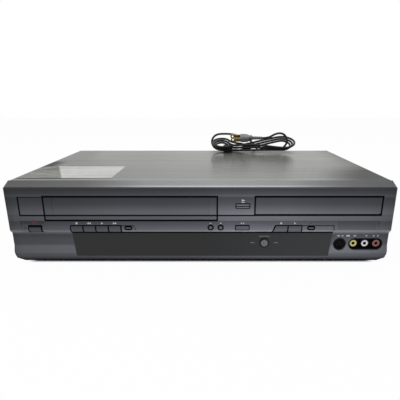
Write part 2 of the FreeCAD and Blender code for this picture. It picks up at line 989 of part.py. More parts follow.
def deck_legs():
    y0 = face + deck_front + 14
    y1 = face + deck_back - 12
    return [(deck_x + side * 90, y) for side in (-1, 1) for y in (y0, y1)]


def drive_legs():
    half = tray_half + 0.5 - 8
    return [(tray_x + side * half, y) for side in (-1, 1) for y in (face + drive_front + 14, face + drive_back - 12)]


def board_posts():
    return [
        (-196.0, face + 40), (-196.0, panel_front - 76), (36.0, face + 40), (36.0, panel_front - 30),
        (66.0, face + 118), (66.0, panel_front - 12), (202.0, face + 118), (202.0, panel_front - 12),
    ]


def base_chassis():
    half = cover_inside - seam
    front_y = face + bezel_slope_depth + skirt_depth + clear
    back_y = panel_front - seam
    pan = box(-half, half, front_y, back_y, chassis_bottom, floor_top)
    flanges = [
        box(-half, -half + sheet, front_y, back_y, chassis_bottom, floor_top + side_flange),
        box(half - sheet, half, front_y, back_y, chassis_bottom, floor_top + side_flange),
        box(-half, half, back_y - sheet, back_y, chassis_bottom, floor_top + 3),
    ]
    posts = [rod_z(floor_top, deck_height, x, y, boss_radius) for x, y in deck_legs()]
    posts += [rod_z(floor_top, drive_floor, x, y, boss_radius) for x, y in drive_legs()]
    posts += [rod_z(floor_top, main_board_height, x, y, board_post_radius) for x, y in board_posts()]
    ribs = [
        plate_z(x - 4, x + 4, front_y + 30, back_y - 30, floor_top, floor_top + 1.2, 3.5)
        for x in (-120.0, -40.0, 52.0)
    ]
    cuts = []
    for row in range(7):
        y = face + 60 + row * 7
        cuts.append(plate_z(100, 160, y - 1.5, y + 1.5, chassis_bottom - 1, floor_top + 1, 1.49))
    for x, y, z in side_screws():
        cuts.append(rod_x(x - 4, x + 4, y, z, screw_shank + running))
    return pan.fuse(flanges + posts + ribs).cut(cuts).removeSplitter()


def foot_places():
    y0 = face + foot_inset
    y1 = panel_front - foot_inset
    return [(side * foot_x, y) for side in (-1, 1) for y in (y0, y1)]


def feet():
    solids = []
    for x, y in foot_places():
        foot = Part.makeCone(foot_top_radius, foot_radius, chassis_bottom, Vector(x, y, 0), Vector(0, 0, 1))
        solids.append(foot.cut(rod_z(-1, 1.2, x, y, foot_top_radius - 3.5)))
    return solids


def fan_grille():
    """Ring slots in front of the fan, parted by four spokes."""
    rings = []
    for inner, outer in ((4.0, 7.0), (9.5, 12.5), (15.0, 18.0)):
        ring = rod_y(panel_front - 1, panel_back + 1, fan_x, fan_z, outer)
        rings.append(ring.cut(rod_y(panel_front - 1, panel_back + 1, fan_x, fan_z, inner)))
    spokes = [
        box(fan_x - 19, fan_x + 19, panel_front - 2, panel_back + 2, fan_z - 1.1, fan_z + 1.1),
        box(fan_x - 1.1, fan_x + 1.1, panel_front - 2, panel_back + 2, fan_z - 19, fan_z + 19),
    ]
    return [ring.cut(spokes) for ring in rings]


def rear_panel():
    half = cover_inside - seam - 0.4
    corner = bend_inside + seam
    plate = plate_y(-half, half, floor_top, roof - seam, panel_front, panel_back, (0, 0, corner, corner))
    cuts = fan_grille()
    for x, z in rear_jack_places():
        cuts.append(rod_y(panel_front - 1, panel_back + 1, x, z, jack_radius + 0.4))
    for z in aerial_places():
        cuts.append(rod_y(panel_front - 1, panel_back + 1, aerial_x, z, aerial_radius + clear))
    cuts.append(rod_y(panel_front - 1, panel_back + 1, cord_exit_x, cord_exit_z, relief_root_radius + running))
    for x, z in rear_screws():
        cuts.append(rod_y(panel_front - 1, panel_back + 1, x, z, screw_shank + running))
    for index in range(10):
        x = 80.0 + index * 12
        cuts.append(plate_y(x - 1.5, x + 1.5, 58, 80, panel_front - 1, panel_back + 1, 1.49))
    return plate.cut(cuts)


# Rear sockets and fan

def rear_jack_places():
    places = []
    for column in range(rear_jack_columns):
        for row in range(rear_jack_rows):
            places.append((rear_jack_x + column * rear_jack_pitch, rear_jack_z + row * rear_jack_pitch))
    return places


def rear_jack_block():
    x0 = rear_jack_x - 9
    x1 = rear_jack_x + (rear_jack_columns - 1) * rear_jack_pitch + 9
    top = rear_jack_z + (rear_jack_rows - 1) * rear_jack_pitch + 7.5
    back = panel_front - seam
    body = box(x0, x1, back - 11, back, board_top, top)
    cuts = []
    cores = []
    for x, z in rear_jack_places():
        core_radius = jack_radius - jack_shell_wall
        ring = rod_y(back - 4, back + 1, x, z, jack_radius)
        cuts.append(ring.cut(rod_y(back - 4, back + 1, x, z, core_radius)))
        core = rod_y(back, depth / 2 - 1.4, x, z, core_radius)
        cores.append(core.cut(rod_y(back + 1, depth / 2, x, z, jack_pin_radius)))
    return body.cut(cuts).fuse(cores).removeSplitter()


def rear_jack_tubes():
    tubes = []
    for x, z in rear_jack_places():
        y0 = panel_front - seam - 4
        y1 = depth / 2 - 0.8
        tube = rod_y(y0, y1, x, z, jack_radius)
        tubes.append(tube.cut(rod_y(y0, y1, x, z, jack_radius - jack_shell_wall)))
    return tubes


def aerial_places():
    return [aerial_low, aerial_low + aerial_spacing]


def tuner_can():
    back = panel_front - seam
    return box(aerial_x - 12, aerial_x + 12, back - 62, back, board_top, aerial_low + aerial_spacing + 12)


def aerial_sockets():
    solids = []
    for z in aerial_places():
        start = panel_front - seam
        tube = rod_y(start, depth / 2, aerial_x, z, aerial_radius)
        points = []
        for step in range(6):
            angle = math.radians(60 * step)
            points.append((aerial_x + 6.2 * math.cos(angle), z + 6.2 * math.sin(angle)))
        nut = prism_y(points, panel_back, panel_back + 2.0)
        bore = rod_y(depth / 2 - 5.5, depth / 2 + 1, aerial_x, z, aerial_radius - 1.0)
        core = rod_y(start, depth / 2 - 1, aerial_x, z, 2.4)
        core = core.cut(rod_y(start + 1, depth / 2, aerial_x, z, 0.6))
        solids.append(tube.fuse(nut).cut(bore).fuse(core).removeSplitter())
    return solids


def fan_frame():
    y1 = panel_front
    y0 = y1 - fan_thickness
    half = fan_size / 2
    body = plate_y(fan_x - half, fan_x + half, fan_z - half, fan_z + half, y0, y1, 3.0)
    bore = rod_y(y0 - 1, y1 + 1, fan_x, fan_z, half - 1.1)
    body = body.cut(bore)
    struts = []
    for step in range(3):
        strut = box(0, half, y1 - 1.6, y1, -1.0, 1.0)
        strut.rotate(Vector(0, 0, 0), Vector(0, 1, 0), 90 + 120 * step)
        strut.translate(Vector(fan_x, 0, fan_z))
        struts.append(strut)
    hub = rod_y(y1 - 1.6, y1, fan_x, fan_z, fan_hub_radius)
    shaft = rod_y(y0 + 1.5, y1, fan_x, fan_z, 1.5)
    body = body.fuse(struts + [hub, shaft])
    holes = []
    for sx in (-1, 1):
        for sz in (-1, 1):
            holes.append(rod_y(y0 - 1, y1 + 1, fan_x + sx * 16, fan_z + sz * 16, 1.7))
    return body.cut(holes).removeSplitter()


def fan_rotor():
    y1 = panel_front - 1.6 - clear
    y0 = panel_front - fan_thickness + 0.6
    hub = rod_y(y0, y1, fan_x, fan_z, fan_hub_radius)
    hub = hub.cut(rod_y(y0 - 1, y1 + 1, fan_x, fan_z, 1.5 + running))
    blades = []
    outer = fan_size / 2 - 1.1 - 0.5
    for step in range(blade_count):
        blade = box(fan_hub_radius - 1.5, outer + 1, -5, 5, -0.5, 0.5)
        blade.rotate(Vector(0, 0, 0), Vector(1, 0, 0), 40)
        blade.rotate(Vector(0, 0, 0), Vector(0, 1, 0), 360.0 * step / blade_count)
        blade.translate(Vector(fan_x, (y0 + y1) / 2, fan_z))
        blades.append(blade)
    sweep = rod_y(y0, y1, fan_x, fan_z, outer)
    core = rod_y(y0, y1, fan_x, fan_z, fan_hub_radius - 1)
    blades = [blade.common(sweep).cut(core) for blade in blades]
    return hub.fuse(blades).removeSplitter()


def cord_relief():
    """Tapered strain relief where the mains cord leaves the rear panel."""
    tip = panel_back + relief_length
    inside = rod_y(panel_front - 4, panel_back + 1, cord_exit_x, cord_exit_z, relief_root_radius)
    keeper = rod_y(panel_front - 4, panel_front - 1, cord_exit_x, cord_exit_z, relief_root_radius + 1.6)
    flange = rod_y(panel_back, panel_back + 2.5, cord_exit_x, cord_exit_z, relief_root_radius + 2.0)
    taper = Part.makeCone(
        relief_root_radius, relief_tip_radius, relief_length - 2.5,
        Vector(cord_exit_x, panel_back + 2.5, cord_exit_z), Vector(0, 1, 0),
    )
    body = inside.fuse([keeper, flange, taper])
    rings = []
    for step in range(4):
        y = panel_back + 6 + step * 3.4
        ring = rod_y(y, y + 1.2, cord_exit_x, cord_exit_z, relief_root_radius + 1)
        rings.append(ring.cut(rod_y(y, y + 1.2, cord_exit_x, cord_exit_z, relief_tip_radius - 0.3)))
    return body.cut(rings).removeSplitter()


# Tape deck

def guide_posts():
    """Places and heights of the tape guides round the drum and beside the cassette."""
    near = reel_row + 56
    return [
        (deck_x - 84, near, 24.0), (deck_x + 84, near + 6, 24.0),
        (deck_x - 58, near + 14, 28.0), (deck_x - 45, drum_y + 12, 30.0), (deck_x + 45, drum_y + 12, 30.0),
    ]


def threading_slot(side):
    """Curved slot beside the drum in which a tape guide would travel."""
    outer = rod_z(deck_height - 1, deck_top + 1, deck_x, drum_y, drum_radius + 13)
    inner = rod_z(deck_height - 1, deck_top + 1, deck_x, drum_y, drum_radius + 8)
    ring = outer.cut(inner)
    x0, x1 = sorted((deck_x + side * 8, deck_x + side * 80))
    return ring.common(box(x0, x1, drum_y - 80, drum_y + 4, deck_height - 2, deck_top + 2))


def deck_plate():
    half = cassette_width / 2 + holder_play + holder_sheet + slider_sheet + frame_sheet + 3 * clear + 1.5
    y0 = face + deck_front
    y1 = face + deck_back
    plate = plate_z(deck_x - half, deck_x + half, y0, y1, deck_height, deck_top, 3.0)
    flange = box(deck_x - half + 4, deck_x + half - 4, y1 - deck_sheet, y1, deck_top, deck_top + 8)
    cuts = [
        plate_z(deck_x - 24, deck_x + 24, y0 + 16, y0 + 62, deck_height - 1, deck_top + 1, 5.0),
        threading_slot(-1),
        threading_slot(1),
        rod_z(deck_height - 1, deck_top + 9, deck_x + capstan_x, capstan_y, capstan_radius + running),
    ]
    posts = []
    for x, y, tall in guide_posts():
        posts.append(rod_z(deck_top, deck_top + tall, x, y, post_radius))
        posts.append(rod_z(deck_top + tall, deck_top + tall + 2, x, y, post_radius + 2))
        posts.append(rod_z(deck_top, deck_top + 3, x, y, post_radius + 2))
    for x in reel_places():
        posts.append(rod_z(deck_top, reel_top - 4, x, reel_row, reel_pin_radius))
    housing = rod_z(deck_top, deck_top + 8, deck_x + capstan_x, capstan_y, 6.5)
    plate = plate.fuse([flange, housing]).cut(cuts)
    return plate.fuse(posts).removeSplitter()


def loading_frame():
    """Two side plates and a bridge that guide the cassette holder."""
    inner = slider_outer + clear
    y0 = face + frame_front
    y1 = face + frame_front + 98
    solids = []
    for side in (-1, 1):
        x0, x1 = sorted((deck_x + side * inner, deck_x + side * (inner + frame_sheet)))
        cheek = box(x0, x1, y0, y1, deck_top, frame_top)
        cheek = cheek.cut([
            plate_x(y0 + 12, y1 - 12, deck_top + 6, deck_top + 22, x0 - 1, x1 + 1, 4.0),
        ] + [
            plate_x(y - guide_pin - clear, y + holder_in + guide_pin + clear, guide_z - guide_pin - clear,
                    guide_z + guide_pin + clear, x0 - 1, x1 + 1, guide_pin + clear - 0.01)
            for y in slider_pin_places()
        ])
        foot_x0, foot_x1 = sorted((deck_x + side * inner, deck_x + side * (inner + frame_sheet + 1)))
        solids.append(cheek)
        solids.append(box(foot_x0, foot_x1, y0, y1, deck_top, deck_top + 1.2))
    bridge = box(
        deck_x - inner - frame_sheet, deck_x + inner + frame_sheet, y0 + 34, y0 + 52, frame_top, frame_top + 1.2,
    )
    return solids[0].fuse(solids[1:] + [bridge]).removeSplitter()


def slider_pin_places():
    return [face + frame_front + 14, face + frame_front + 52]


def holder_pin_places():
    return [face + frame_front + 8, face + frame_front + 60]


def holder_slider():
    """Two side plates that carry the cassette holder back, tied by a bar over it."""
    y0 = face + frame_front + 1
    y1 = y0 + 68
    inner = holder_outer + clear
    solids = []
    for side in (-1, 1):
        x0, x1 = sorted((deck_x + side * inner, deck_x + side * slider_outer))
        cheek = box(x0, x1, y0, y1, holder_pin_z - holder_down - 6, slider_top)
        slots = [
            plate_x(y - guide_pin - clear, y + guide_pin + clear, holder_pin_z - holder_down - guide_pin - clear,
                    holder_pin_z + guide_pin + clear, x0 - 1, x1 + 1, guide_pin + clear - 0.01)
            for y in holder_pin_places()
        ]
        solids.append(cheek.cut(slots))
        for y in slider_pin_places():
            tip = deck_x + side * (slider_outer + clear + frame_sheet)
            base = deck_x + side * (slider_outer - 0.2)
            solids.append(rod_x(min(base, tip), max(base, tip), y, guide_z, guide_pin))
    bar = box(deck_x - slider_outer, deck_x + slider_outer, y0 + 4, y0 + 14, slider_top, slider_top + 1.2)
    return solids[0].fuse(solids[1:] + [bar]).removeSplitter()


def cassette_holder():
    """Cage open at the front, the back and most of its floor, with a ledge along each side."""
    inner = cassette_width / 2 + holder_play
    y0 = face + holder_front
    y1 = y0 + holder_length
    wall_front = face + frame_front - 2
    floor_z = holder_floor
    top = floor_z + holder_sheet + cassette_height + 0.8
    solids = []
    for side in (-1, 1):
        x0, x1 = sorted((deck_x + side * inner, deck_x + side * holder_outer))
        solids.append(box(x0, x1, wall_front, y1, floor_z, top + holder_sheet))
        ledge0, ledge1 = sorted((deck_x + side * (inner - holder_ledge), deck_x + side * holder_outer))
        solids.append(box(ledge0, ledge1, y0, y1, floor_z, floor_z + holder_sheet))
        for y in holder_pin_places():
            base = deck_x + side * (holder_outer - 0.2)
            tip = deck_x + side * (slider_outer - 0.2)
            solids.append(rod_x(min(base, tip), max(base, tip), y, holder_pin_z, guide_pin))
    lid = box(deck_x - holder_outer, deck_x + holder_outer, wall_front, y1, top, top + holder_sheet)
    lid = lid.cut([
        plate_z(deck_x - 64, deck_x - 24, wall_front + 30, y1 - 10, top - 1, top + 3, 4.0),
        plate_z(deck_x + 24, deck_x + 64, wall_front + 30, y1 - 10, top - 1, top + 3, 4.0),
    ])
    return solids[0].fuse(solids[1:] + [lid]).removeSplitter()


def reel_places():
    return [deck_x - reel_spacing / 2, deck_x + reel_spacing / 2]


def reel(x):
    """Reel table with a hub and three splines."""
    table = rod_z(deck_top + clear, deck_top + 3.0, x, reel_row, reel_table_radius)
    hub = rod_z(deck_top + 3.0, deck_top + 5.0, x, reel_row, reel_hub_radius)
    spindle = rod_z(deck_top + 5.0, reel_top, x, reel_row, reel_spindle_radius)
    splines = []
    for step in range(3):
        spline = box(reel_spindle_radius - 1, reel_spindle_radius + 1.6, -0.8, 0.8, deck_top + 5.0, reel_top - 3)
        spline.rotate(Vector(0, 0, 0), Vector(0, 0, 1), 120 * step)
        spline.translate(Vector(x, reel_row, 0))
        splines.append(spline)
    bore = rod_z(deck_top, reel_top - 3.7, x, reel_row, reel_pin_radius + running)
    return table.fuse([hub, spindle] + splines).cut(bore).removeSplitter()


def tilted(shape):
    """Lean a piece of the drum back about the deck's top."""
    shape.rotate(Vector(deck_x, drum_y, deck_top), Vector(1, 0, 0), drum_tilt)
    return shape


def drum_base():
    low = rod_z(deck_top - 6, deck_top + 5 + drum_base_height, deck_x, drum_y, drum_radius)
    foot = rod_z(deck_top - 8, deck_top + 6, deck_x, drum_y, drum_radius + 4)
    ledge = rod_z(deck_top + 6, deck_top + 30, deck_x, drum_y, drum_radius + 1).cut(
        rod_z(deck_top + 6, deck_top + 30, deck_x, drum_y, drum_radius - 0.8))
    body = low.cut(ledge).fuse(foot)
    bore = rod_z(deck_top - 20, deck_top + 40, deck_x, drum_y, drum_shaft_radius + running)
    body = tilted(body.cut(bore))
    return body.cut(box(deck_x - 60, deck_x + 60, drum_y - 60, drum_y + 60, 0, deck_top)).removeSplitter()


def head_drum():
    low = deck_top + 5 + drum_base_height + clear
    top = low + drum_height
    body = rod_z(low, top, deck_x, drum_y, drum_radius)
    edges = [edge for edge in body.Edges if edge.BoundBox.ZMin > top - 0.01]
    body = body.makeFillet(1.0, edges)
    windows = []
    for step in range(4):
        notch = box(drum_radius - 2.5, drum_radius + 2, -2.5, 2.5, low - 1, low + 4)
        notch.rotate(Vector(0, 0, 0), Vector(0, 0, 1), 90 * step)
        notch.translate(Vector(deck_x, drum_y, 0))
        windows.append(notch)
    cap = rod_z(top, top + 5, deck_x, drum_y, 19)
    boss = rod_z(top + 5, top + 8, deck_x, drum_y, 7)
    shaft = rod_z(low - 18, low + 1, deck_x, drum_y, drum_shaft_radius)
    holes = []
    for step in range(3):
        angle = math.radians(120 * step + 30)
        holes.append(rod_z(top + 2, top + 6, deck_x + 13 * math.cos(angle), drum_y + 13 * math.sin(angle), 1.6))
    return tilted(body.cut(windows).fuse([cap, boss, shaft]).cut(holes).removeSplitter())


def capstan():
    x = deck_x + capstan_x
    top = deck_height - 2.0
    wheel = rod_z(top - flywheel_thickness, top, x, capstan_y, flywheel_radius)
    groove = rod_z(top - 4, top - 2.5, x, capstan_y, flywheel_radius + 1)
    groove = groove.cut(rod_z(top - 4, top - 2.5, x, capstan_y, flywheel_radius - 1.2))
    hub = rod_z(top, deck_height - clear, x, capstan_y, 5.0)
    shaft = rod_z(top, deck_top + 30, x, capstan_y, capstan_radius)
    return wheel.cut(groove).fuse([hub, shaft]).removeSplitter()


# Disc drive

def drive_frame():
    """Open moulded box whose side walls carry the tray."""
    inner = tray_half + 0.5
    y0 = face + drive_front + 4
    y1 = face + drive_back
    outer = box(tray_x - inner - drive_wall, tray_x + inner + drive_wall, y0, y1, drive_floor, drive_top)
    room = box(tray_x - inner, tray_x + inner, y0 - 1, y1 - drive_wall, drive_floor + drive_wall, drive_top + 1)
    body = outer.cut(room)
    ledge_top = tray_surface - tray_plate - tray_skirt - 0.2
    ledges = []
    for side in (-1, 1):
        x0, x1 = sorted((tray_x + side * inner, tray_x + side * (inner - 3)))
        ledges.append(box(x0, x1, y0, y1, ledge_top - 2, ledge_top))
    for side in (-1, 1):
        near = traverse_half + clear
        x0, x1 = sorted((tray_x + side * near, tray_x + side * (near + drive_ear)))
        ear = box(x0, x1, traverse_hinge_y - 4, traverse_hinge_y + 4, drive_floor + 1, traverse_z + 2.8)
        hole = rod_x(x0 - 1, x1 + 1, traverse_hinge_y, traverse_z, traverse_pin_radius + running)
        ledges.append(ear.cut(hole))
    slots = []
    for step in range(6):
        y = y0 + 20 + step * 12
        slots.append(plate_z(tray_x - 30, tray_x + 30, y - 2, y + 2, drive_floor - 1, drive_floor + 2, 1.99))
    return body.cut(slots).fuse(ledges).removeSplitter()


def clamp_bridge():
    """Bridge over the tray, with a pressed dish that the clamp disc hangs in."""
    inner = tray_half + 0.5
    y0 = disc_y - 24
    y1 = disc_y + 24
    top = drive_top + bridge_sheet
    bar = box(tray_x - inner - drive_wall, tray_x + inner + drive_wall, y0, y1, drive_top, top)
    ribs = [
        box(tray_x - inner, tray_x + inner, y0 + 0.5, y0 + 0.5 + bridge_sheet, drive_top - 3, drive_top),
        box(tray_x - inner, tray_x + inner, y1 - 0.5 - bridge_sheet, y1 - 0.5, drive_top - 3, drive_top),
    ]
    dish = rod_z(dish_floor, top, tray_x, disc_y, dish_radius)
    hollow = rod_z(dish_floor + bridge_sheet, top + 1, tray_x, disc_y, dish_radius - bridge_sheet)
    hole = rod_z(dish_floor - 1, top + 1, tray_x, disc_y, clamp_neck_radius + clear)
    return bar.fuse(ribs + [dish]).cut([hollow, hole]).removeSplitter()


def clamp_disc():
    """Disc that hangs in the bridge and presses a disc onto the turntable."""
    low = disc_plane + clamp_gap
    rim_low = dish_floor + bridge_sheet + running
    pad = rod_z(low, low + 2, tray_x, disc_y, clamp_radius)
    neck = rod_z(low, rim_low + 0.5, tray_x, disc_y, clamp_neck_radius)
    rim = rod_z(rim_low, rim_low + 1.6, tray_x, disc_y, clamp_neck_radius + 3)
    boss = rod_z(rim_low, rim_low + 3, tray_x, disc_y, clamp_pocket_radius + 1.8)
    pocket = rod_z(low - 1, rim_low + 1.5, tray_x, disc_y, clamp_pocket_radius)
    return pad.fuse([neck, rim, boss]).cut(pocket).removeSplitter()


def disc_tray():
    y0 = face + 4
    y1 = y0 + tray_length
    low = tray_surface - tray_plate
    plate = plate_z(tray_x - tray_half, tray_x + tray_half, y0, y1, low, tray_surface, 2.0)
    skirts = []
    for side in (-1, 1):
        x0, x1 = sorted((tray_x + side * tray_half, tray_x + side * (tray_half - tray_side)))
        skirts.append(box(x0, x1, y0 + 2, y1 - 2, low - tray_skirt, low + 0.5))
    front = box(tray_x - tray_half + 3, tray_x + tray_half - 3, y0, y0 + 2.5, low - 4, low + 0.5)
    recess = rod_z(tray_surface - disc_recess, tray_surface + 1, tray_x, disc_y, disc_radius + 0.5)
    small = rod_z(tray_surface - disc_recess - 1.0, tray_surface, tray_x, disc_y, small_disc_radius + 0.5)
    slot_end = disc_y + pickup_start + pickup_length + pickup_stroke + 6.0
    slot = plate_z(
        tray_x - tray_slot_half, tray_x + tray_slot_half, disc_y - tray_slot_half, slot_end, low - 1,
        tray_surface + 1, 6.0,
    )
    fingers = []
    for side in (-1, 1):
        notch = plate_z(
            tray_x + side * 52 - 9, tray_x + side * 52 + 9, disc_y - 16, disc_y + 16,
            tray_surface - disc_recess - 1.0, tray_surface + 1, 8.9,
        )
        fingers.append(notch)
    return plate.fuse(skirts + [front]).cut([recess, small, slot] + fingers).removeSplitter()


def lowered(shape):
    """Turn a piece of the traverse down from the playing place, so that the tray can pass over it."""
    shape.rotate(Vector(tray_x, traverse_hinge_y, traverse_z), Vector(1, 0, 0), traverse_drop)
    return shape


def traverse():
    """Plate that carries the turntable and the pickup and lifts them to the disc."""
    low = traverse_z - traverse_thickness / 2
    high = traverse_z + traverse_thickness / 2
    rail_start = disc_y + pickup_start - 2.5
    rail_end = disc_y + pickup_start + pickup_length + pickup_stroke + 1.0
    rail_half = rail_spacing / 2
    plate = plate_z(
        tray_x - traverse_half, tray_x + traverse_half, disc_y - 24, traverse_hinge_y + 2, low, high, 3.0,
    )
    window = plate_z(
        tray_x - rail_half - 3, tray_x + rail_half + 3, rail_start + 1, rail_end - 1, low - 1, high + 1, 3.0,
    )
    hole = rod_z(low - 1, high + 1, tray_x, disc_y, axle_radius + running)
    pins = []
    rails = []
    for side in (-1, 1):
        base = tray_x + side * (traverse_half - 1)
        tip = tray_x + side * (traverse_half + clear + drive_ear)
        pins.append(rod_x(min(base, tip), max(base, tip), traverse_hinge_y, traverse_z, traverse_pin_radius))
        rails.append(rod_y(rail_start, rail_end, tray_x + side * rail_half, high - 0.4, rail_radius))
    return lowered(plate.cut([window, hole]).fuse(pins + rails).removeSplitter())


def turntable():
    low = traverse_z + traverse_thickness / 2 + clear
    rotor = rod_z(low, disc_plane, tray_x, disc_y, turntable_radius - 2)
    disc = rod_z(disc_plane - 1.5, disc_plane, tray_x, disc_y, turntable_radius)
    nose = Part.makeCone(
        turntable_hub_radius, turntable_hub_radius - 2.4, 3.0, Vector(tray_x, disc_y, disc_plane), Vector(0, 0, 1),
    )
    axle = rod_z(traverse_z - traverse_thickness / 2 - 0.8, low + 1, tray_x, disc_y, axle_radius)
    platter = disc.fuse([rotor, axle]).removeSplitter()
    return lowered(Part.makeCompound([platter, nose]))


def pickup():
    """Laser pickup that rides on the two rails, with its lens on top."""
    high = traverse_z + traverse_thickness / 2
    y0 = disc_y + pickup_start
    y1 = y0 + pickup_length
    rail_half = rail_spacing / 2
    body = box(tray_x - rail_half + 2.5, tray_x + rail_half - 2.5, y0, y1, high - 4.5, high + 3.6)
    arms = []
    for side in (-1, 1):
        x0, x1 = sorted((tray_x + side * (rail_half - 3), tray_x + side * (rail_half + 2.5)))
        arm = box(x0, x1, y0 + 3, y1 - 3, high + 0.3, high + 3.2)
        arms.append(arm.cut(rod_y(y0, y1, tray_x + side * rail_half, high - 0.4, rail_radius + running)))
    lens = rod_z(high + 3.6, high + 4.4, tray_x, y0 + 6, 2.0)
    return lowered(body.fuse(arms + [lens]).removeSplitter())


# Boards

def chip(x, y, wide, deep, tall):
    return box(x - wide / 2, x + wide / 2, y - deep / 2, y + deep / 2, board_top, board_top + tall)


def main_board():
    front = face + main_board_front
    back = panel_front - board_rear_gap
    sheet_part = box(main_board_left, main_board_right, front, back, main_board_height, board_top)
    holes = [rod_z(0, 50, x, y, boss_radius + clear) for x, y in deck_legs()]
    solids = [sheet_part.cut(holes)]
    solids.append(chip(main_board_left + 98, front + 30, 22, 22, 2.0))
    solids.append(chip(main_board_left + 148, front + 62, 28, 28, 2.2))
    solids.append(chip(main_board_right - 72, front + 30, 12, 16, 1.8))
    solids.append(chip(main_board_right - 44, front + 66, 10, 24, 6.0))
    for index in range(6):
        x = main_board_left + 28 + index * small_capacitor_pitch
        top = board_top + small_capacitor_height
        solids.append(rod_z(board_top, top, x, front + 98, small_capacitor_radius))
    return solids


def heat_sink(x, y):
    top = board_top + heat_sink_height
    half = heat_sink_length / 2
    pitch = (heat_sink_width - fin_thickness) / (heat_sink_fins - 1)
    left = x - heat_sink_width / 2
    fins = []
    for step in range(heat_sink_fins):
        fin_left = left + step * pitch
        fins.append(box(fin_left, fin_left + fin_thickness, y - half, y + half, board_top, top))
    back = box(left, left + heat_sink_width, y - 1, y + 1, board_top, top)
    return back.fuse(fins).removeSplitter()


def transformer(x0, y0):
    """Laminated core with two windows for its windings."""
    x1 = x0 + transformer_width
    y1 = y0 + transformer_length
    core = box(x0, x1, y0, y1, board_top, board_top + transformer_height)
    low = board_top + 5
    high = board_top + transformer_height - 5
    gaps = [
        box(x0 - 1, x1 + 1, y0 + 7, y0 + 7 + winding_gap, low, high),
        box(x0 - 1, x1 + 1, y1 - 7 - winding_gap, y1 - 7, low, high),
    ]
    return core.cut(gaps)


def power_board():
    front = face + power_board_front
    back = panel_front - 3 * board_rear_gap
    sheet_part = box(power_board_left, power_board_right, front, back, main_board_height, board_top)
    holes = [rod_z(0, 50, x, y, boss_radius + clear) for x, y in drive_legs()]
    solids = [sheet_part.cut(holes)]
    solids.append(transformer(power_board_right - transformer_inset - transformer_width, front + 38))
    x = power_board_left + capacitor_inset
    y = front + 38
    solids.append(rod_z(board_top, board_top + capacitor_height, x, y, capacitor_radius))
    spacing = capacitor_radius + second_capacitor_radius + 9
    solids.append(rod_z(board_top, board_top + second_capacitor_height, x, y + spacing, second_capacitor_radius))
    solids.append(heat_sink(x + capacitor_radius + heat_sink_width + 1, front + 48))
    return solids


# Mains cord

def cord_path(points):
    """Straight runs joined by arcs as large as the runs allow, with the radii used."""
    vectors = [Vector(*point) for point in points]
    edges = []
    radii = []
    start = vectors[0]
    for index in range(1, len(vectors) - 1):
        before = vectors[index - 1] - vectors[index]
        after = vectors[index + 1] - vectors[index]
        shorter = min(before.Length, after.Length)
        before.normalize()
        after.normalize()
        half_turn = (math.pi - before.getAngle(after)) / 2
        setback = 0.45 * shorter
        radius = setback / math.tan(half_turn)
        first = vectors[index] + before * setback
        last = vectors[index] + after * setback
        inward = before + after
        inward.normalize()
        centre = vectors[index] + inward * (radius / math.cos(half_turn))
        middle = centre - inward * radius
        edges.append(Part.LineSegment(start, first).toShape())
        edges.append(Part.Arc(first, middle, last).toShape())
        radii.append(radius)
        start = last
    edges.append(Part.LineSegment(start, vectors[-1]).toShape())
    return Part.Wire(edges), radii


def cord_tube(name, points):
    wire, radii = cord_path(points)
    start = Vector(*points[0])
    heading = Vector(*points[1]) - start
    section = Part.Wire([Part.makeCircle(cord / 2, start, heading)])
    tube = wire.makePipeShell([section], True, False)
    expected = math.pi * (cord / 2) ** 2 * wire.Length
    print(name, "length", round(wire.Length, 1), "least radius", round(min(radii), 1),
          "volume over section by length", round(tube.Volume / expected, 4))
    return tube


def biarc(start, start_way, end, end_way):
    """Two arcs that join two points with the given directions."""
    span = end - start
    both = start_way + end_way
    spread = 2 * (1 - start_way.dot(end_way))
    if spread < 0.000001:
        reach = span.dot(span) / (4 * span.dot(end_way))
    else:
        along = span.dot(both)
        reach = (math.sqrt(along * along + spread * span.dot(span)) - along) / spread
    middle = (start + start_way * reach + end - end_way * reach) * 0.5
    return [arc_from(start, start_way, middle), arc_from(middle, None, end, end_way)]


def arc_from(start, start_way, end, end_way=None):
    """Arc between two points that follows a direction at one of them."""
    if start_way is None:
        return arc_from(end, end_way * -1, start)
    chord = end - start
    across = chord - start_way * chord.dot(start_way)
    if across.Length < 0.000001:
        return Part.LineSegment(start, end).toShape()
    across.normalize()
    radius = chord.dot(chord) / (2 * chord.dot(across))
    turn = 2 * math.atan2(chord.dot(across), chord.dot(start_way))
    centre = start + across * radius
    half = turn / 2
    middle = centre + (start_way * math.sin(half) - across * math.cos(half)) * radius
    return Part.Arc(start, middle, end).toShape()


